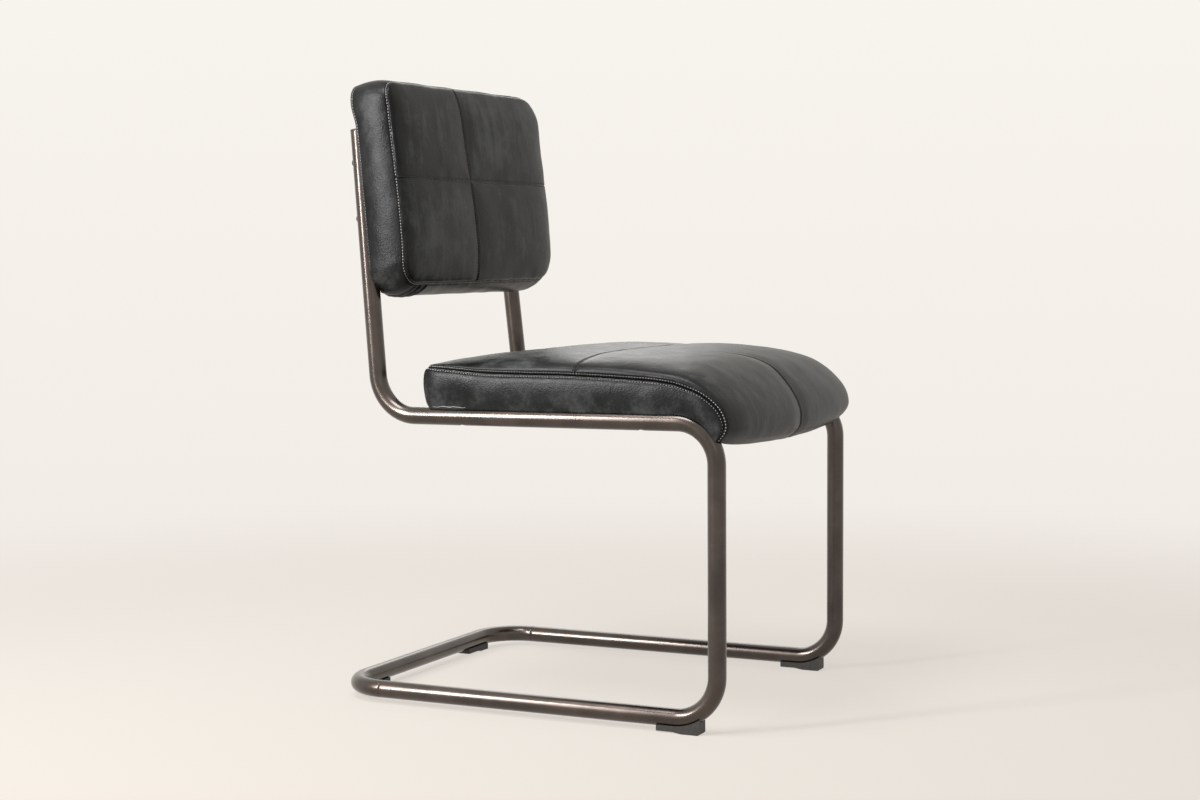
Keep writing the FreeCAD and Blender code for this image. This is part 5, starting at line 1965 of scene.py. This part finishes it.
    def band(self, line: np.ndarray, corner: tuple[int, int]) -> np.ndarray:
        """Shapes the band from a front border (first column) to the rear (last column).

        It runs straight from one to the other and bows outwards by 4 w (1 - w) times a swell
        that is largest underneath.

        Args:
            line: (n, 3) border places, ordered along the border from the corner.
            corner: the signs of x and of the rise at that corner, where the border looks
                out diagonally.
        Returns:
            (n, levels, 3) places.
        """
        w = np.linspace(0, 1, self.cells[4] + 1)[None, :, None]
        rear = self.rear_place(line[:, 0], line[:, 2])
        along = np.gradient(line[:, [0, 2]], axis=0)
        out = unit(np.stack([along[:, 1], -along[:, 0]], axis=-1))
        middle = np.array([0.0, (self.low + self.high) / 2])
        inward = ((line[:, [0, 2]] - middle) * out).sum(axis=-1, keepdims=True) < 0
        out = np.where(inward, -out, out)
        out[0] = np.array(corner) / math.sqrt(2)
        under, top, side = self.swell
        amount = np.where(out[:, 1] < 0, under, top) * out[:, 1] ** 2 + side * out[:, 0] ** 2
        bow = np.stack([out[:, 0], np.zeros(len(out)), out[:, 1]], axis=-1) * amount[:, None]
        return line[:, None] * (1 - w) + rear[:, None] * w + bow[:, None] * 4 * w * (1 - w)

    def panels(self) -> list[Panel]:
        """Plans all the back's panels.

        Returns:
            The panels, which close up behind.
        """
        made = []
        for right in (False, True):
            for upper in (False, True):
                grid = self.front_grid(right, upper)
                wide = self.half_width + (30.0 if right else -30.0) + 12.0
                tall = abs((self.high if upper else self.low) - self.seam_height) + 12.0
                rows = Plan(grid.shape[0] - 1, tall, True, True, self.fine)
                columns = Plan(grid.shape[1] - 1, wide, True, True, self.fine)
                tone = 0.3 if right == upper else -0.3
                sewn = (Seam.BOXING, Seam.CROSS, Seam.BOXING, Seam.CROSS)
                made.append(Panel(grid, rows, columns, sewn, tone=tone))
                rear = self.rear_place(grid[..., 0], grid[..., 2])
                made.append(Panel(rear, rows, columns, (Seam.NONE,) * 4, held=True))
                levels = Plan(self.cells[4], 62.0, True, True, self.fine)
                sewn = (Seam.NONE, Seam.NONE, Seam.BOXING, Seam.BOXING)
                corner = (1 if right else -1, 1 if upper else -1)
                for line, along in ((grid[0], columns), (grid[:, 0], rows)):
                    band = self.band(line, corner)
                    made.append(Panel(band, along, levels, sewn, row=BAND_ROW))
        return made

    def folds(self, points: np.ndarray) -> np.ndarray:
        """Pleats the lower band where it turns the corner.

        Each pleat is a sharp tuck beside a softer ridge, a little aslant from the front seam
        to the rear.

        Args:
            points: (n, 3) places on the leather.
        Returns:
            How far each stands out.
        """
        x, depth, z = points.T
        under = smooth((self.low - 1.0 - z) / 5.0)
        under = under * smooth((depth + 2) / 8) * smooth((54 - depth) / 5)
        total = np.zeros(len(points))
        for place, size in self.pleats:
            off = x - place - 0.12 * (depth - 25)
            total += size * (bell(off - 5.5, 3.2) - 1.3 * bell(off, 1.5))
        return total * under

    def keep_clear(self, points: np.ndarray) -> np.ndarray:
        """Moves forward any point that has come too near to an upright or its cap.

        Args:
            points: (n, 3) places on the leather.
        Returns:
            The places, clear of the frame.
        """
        points = points.copy()
        x, depth, z = points.T
        radius = self.frame.radius + 0.4
        off = np.abs(np.abs(x) - self.frame.upright_axis(z))
        front = np.sqrt(np.maximum(radius**2 - off**2, 0)) - self.frame.radius
        near = (off < radius) & (z < self.tube_top + 4) & (depth < front)
        points[:, 1] = np.where(near, front, depth)
        return points

    def build(self) -> None:
        """Makes the leather with its stitches."""
        turn, origin = self.frame.back_frame()
        flip = turn @ np.diag([1.0, -1.0, 1.0])
        origin = origin + turn @ np.array([0.0, -self.frame.radius, 0.0])
        sewing = Sewing(seed=23, swell=2.0)
        cushion = Cushion("back_leather", sewing, flip, origin, self.keep_clear, self.folds)
        quarters = ("lower_left", "lower_right", "upper_left", "upper_right")
        nodes = [f"back_cover_{quarter}" for quarter in quarters]
        cushion.make(self.panels(), [*nodes, "back_band", "back_foam", "back_rear_panel"])


# Stage


@dataclass
class PhotoCamera:
    """The camera at the photograph's place and angle, in metres and degrees."""

    place: Point = (-2.765605, -1.329338, 0.643524)
    heading: float = 64.3313
    tilt: float = -4.5467
    roll: float = -0.4002
    focal_pixels: float = 2084.8176
    centre: tuple[float, float] = (599.6385, 417.7524)
    width: float = 1200.0
    height: float = 800.0
    sensor: float = 36.0

    def build(self) -> None:
        """Makes the camera and sets it as the scene's.

        It looks along the heading and tilt, and is then turned about that line by the roll.
        """
        data = bpy.data.cameras.new("photo_camera")
        data.sensor_width = self.sensor
        data.lens = self.focal_pixels * self.sensor / self.width
        data.shift_x = (self.width / 2 - self.centre[0]) / self.width
        data.shift_y = (self.centre[1] - self.height / 2) / self.width
        data.clip_start, data.clip_end = 0.05, 100.0
        h, t, r = (math.radians(v) for v in (self.heading, self.tilt, self.roll))
        forward = Vector((math.sin(h) * math.cos(t), math.cos(h) * math.cos(t), math.sin(t)))
        level = Vector((math.cos(h), -math.sin(h), 0.0))
        above = level.cross(forward)
        right = level * math.cos(r) + above * math.sin(r)
        up = above * math.cos(r) - level * math.sin(r)
        axes = Matrix((right, up, -forward)).transposed().to_4x4()
        camera = link_object("photo_camera", data)
        camera.matrix_world = Matrix.Translation(self.place) @ axes
        bpy.context.scene.camera = camera


@dataclass
class Studio:
    """A pale seamless studio: soft lamps, and a floor that only shows the chair's shadow.

    The floor is painted near the chair and thins out to nothing further off, where the
    studio's own pale tone stands behind it. Cameras, mirrors and glass see that tone, and
    everything else is lit by an even white fill.
    """

    lamps: tuple[tuple[str, Point, tuple[float, float], float], ...] = (
        ("overhead_softbox", (-1.0, 0.3, 2.3), (0.9, 0.9), 36.0),
        ("left_strip", (-2.3, 1.5, 1.45), (0.3, 1.5), 85.0),
        ("front_softbox", (-2.6, -2.2, 1.8), (1.2, 1.2), 3.0),
        ("right_softbox", (2.2, 1.2, 1.6), (1.0, 1.0), 7.0),
    )
    lamps_aim: Point = (0.0, 0.0, 0.45)
    tones: tuple[tuple[float, str], ...] = ((0.0, "#ece5dd"), (0.5, "#f3eee8"), (1.0, "#f7f4ed"))
    tone_rise: tuple[float, float] = (-0.27, 0.11)
    floor_tone: str = "#cdc6bd"
    fill: float = 0.45
    paint: float = 0.3
    painted_to: tuple[float, float] = (0.9, 2.4)

    def build(self) -> None:
        """Makes the floor, the lamps and the world."""
        self.floor()
        for name, place, size, power in self.lamps:
            lamp = bpy.data.lights.new(name, "AREA")
            lamp.shape = "RECTANGLE"
            lamp.size, lamp.size_y = size
            lamp.energy = power
            aim = Vector(self.lamps_aim) - Vector(place)
            turn = aim.to_track_quat("-Z", "Y").to_matrix().to_4x4()
            link_object(name, lamp).matrix_world = Matrix.Translation(place) @ turn
        world = bpy.data.worlds.new("studio_world")
        world.use_nodes = True
        tree = world.node_tree
        tree.nodes.clear()
        add = partial(add_node, tree)
        path = add("LightPath").outputs
        seen = path["Is Camera Ray"]
        for ray in ("Is Glossy Ray", "Is Transmission Ray"):
            seen = add("Math", {"operation": "MAXIMUM"}, in_0=seen, in_1=path[ray]).outputs[0]
        look = add("TexCoord").outputs["Generated"]
        height = add("SeparateXYZ", {}, Vector=look).outputs["Z"]
        low, high = self.tone_rise
        rise = add("MapRange", {}, Value=height, From_Min=low, From_Max=high).outputs[0]
        tone = add("ValToRGB", {"stops": self.tones}, Fac=rise).outputs["Color"]
        fill = add("Background", {}, Color=linear("#ffffff"), Strength=self.fill).outputs[0]
        shown = add("Background", {}, Color=tone, Strength=1.0).outputs[0]
        both = add("MixShader", {}, Fac=seen, in_1=fill, in_2=shown).outputs[0]
        add("OutputWorld", {}, Surface=both)
        bpy.context.scene.world = world

    def floor(self) -> None:
        """Makes the floor, thinly painted near the chair and clear further off."""
        data = bpy.data.meshes.new("studio_floor")
        near, far = self.painted_to
        side = far + 0.2
        corners = [(-side, -side, 0), (side, -side, 0), (side, side, 0), (-side, side, 0)]
        data.from_pydata(corners, [], [(0, 1, 2, 3)])
        material, tree = new_material("painted_studio_floor")
        add = partial(add_node, tree)
        place = add("TexCoord").outputs["Object"]
        away = add("VectorMath", {"operation": "LENGTH"}, in_0=place).outputs["Value"]
        fade = {"From_Min": near, "From_Max": far, "To_Min": self.paint, "To_Max": 0.0}
        cover = add("MapRange", {"interpolation_type": "SMOOTHSTEP"}, Value=away, **fade)
        paint = add("BsdfDiffuse", {}, Color=linear(self.floor_tone)).outputs[0]
        clear = add("BsdfTransparent").outputs[0]
        both = add("MixShader", {}, Fac=cover.outputs[0], in_1=clear, in_2=paint).outputs[0]
        add("OutputMaterial", {}, Surface=both)
        data.materials.append(material)
        link_object("studio_floor", data)


def main() -> None:
    """Builds the sub-assemblies in order."""
    logging.basicConfig(level=logging.INFO, format="%(name)s %(message)s")
    scene = bpy.context.scene
    scene.view_settings.view_transform = "Standard"
    PhotoCamera().build()
    Studio().build()
    chair_frame = TubeFrame()
    chair_frame.build()
    SeatCushion(chair_frame).build()
    BackCushion(chair_frame).build()


if __name__ == "__main__":
    main()
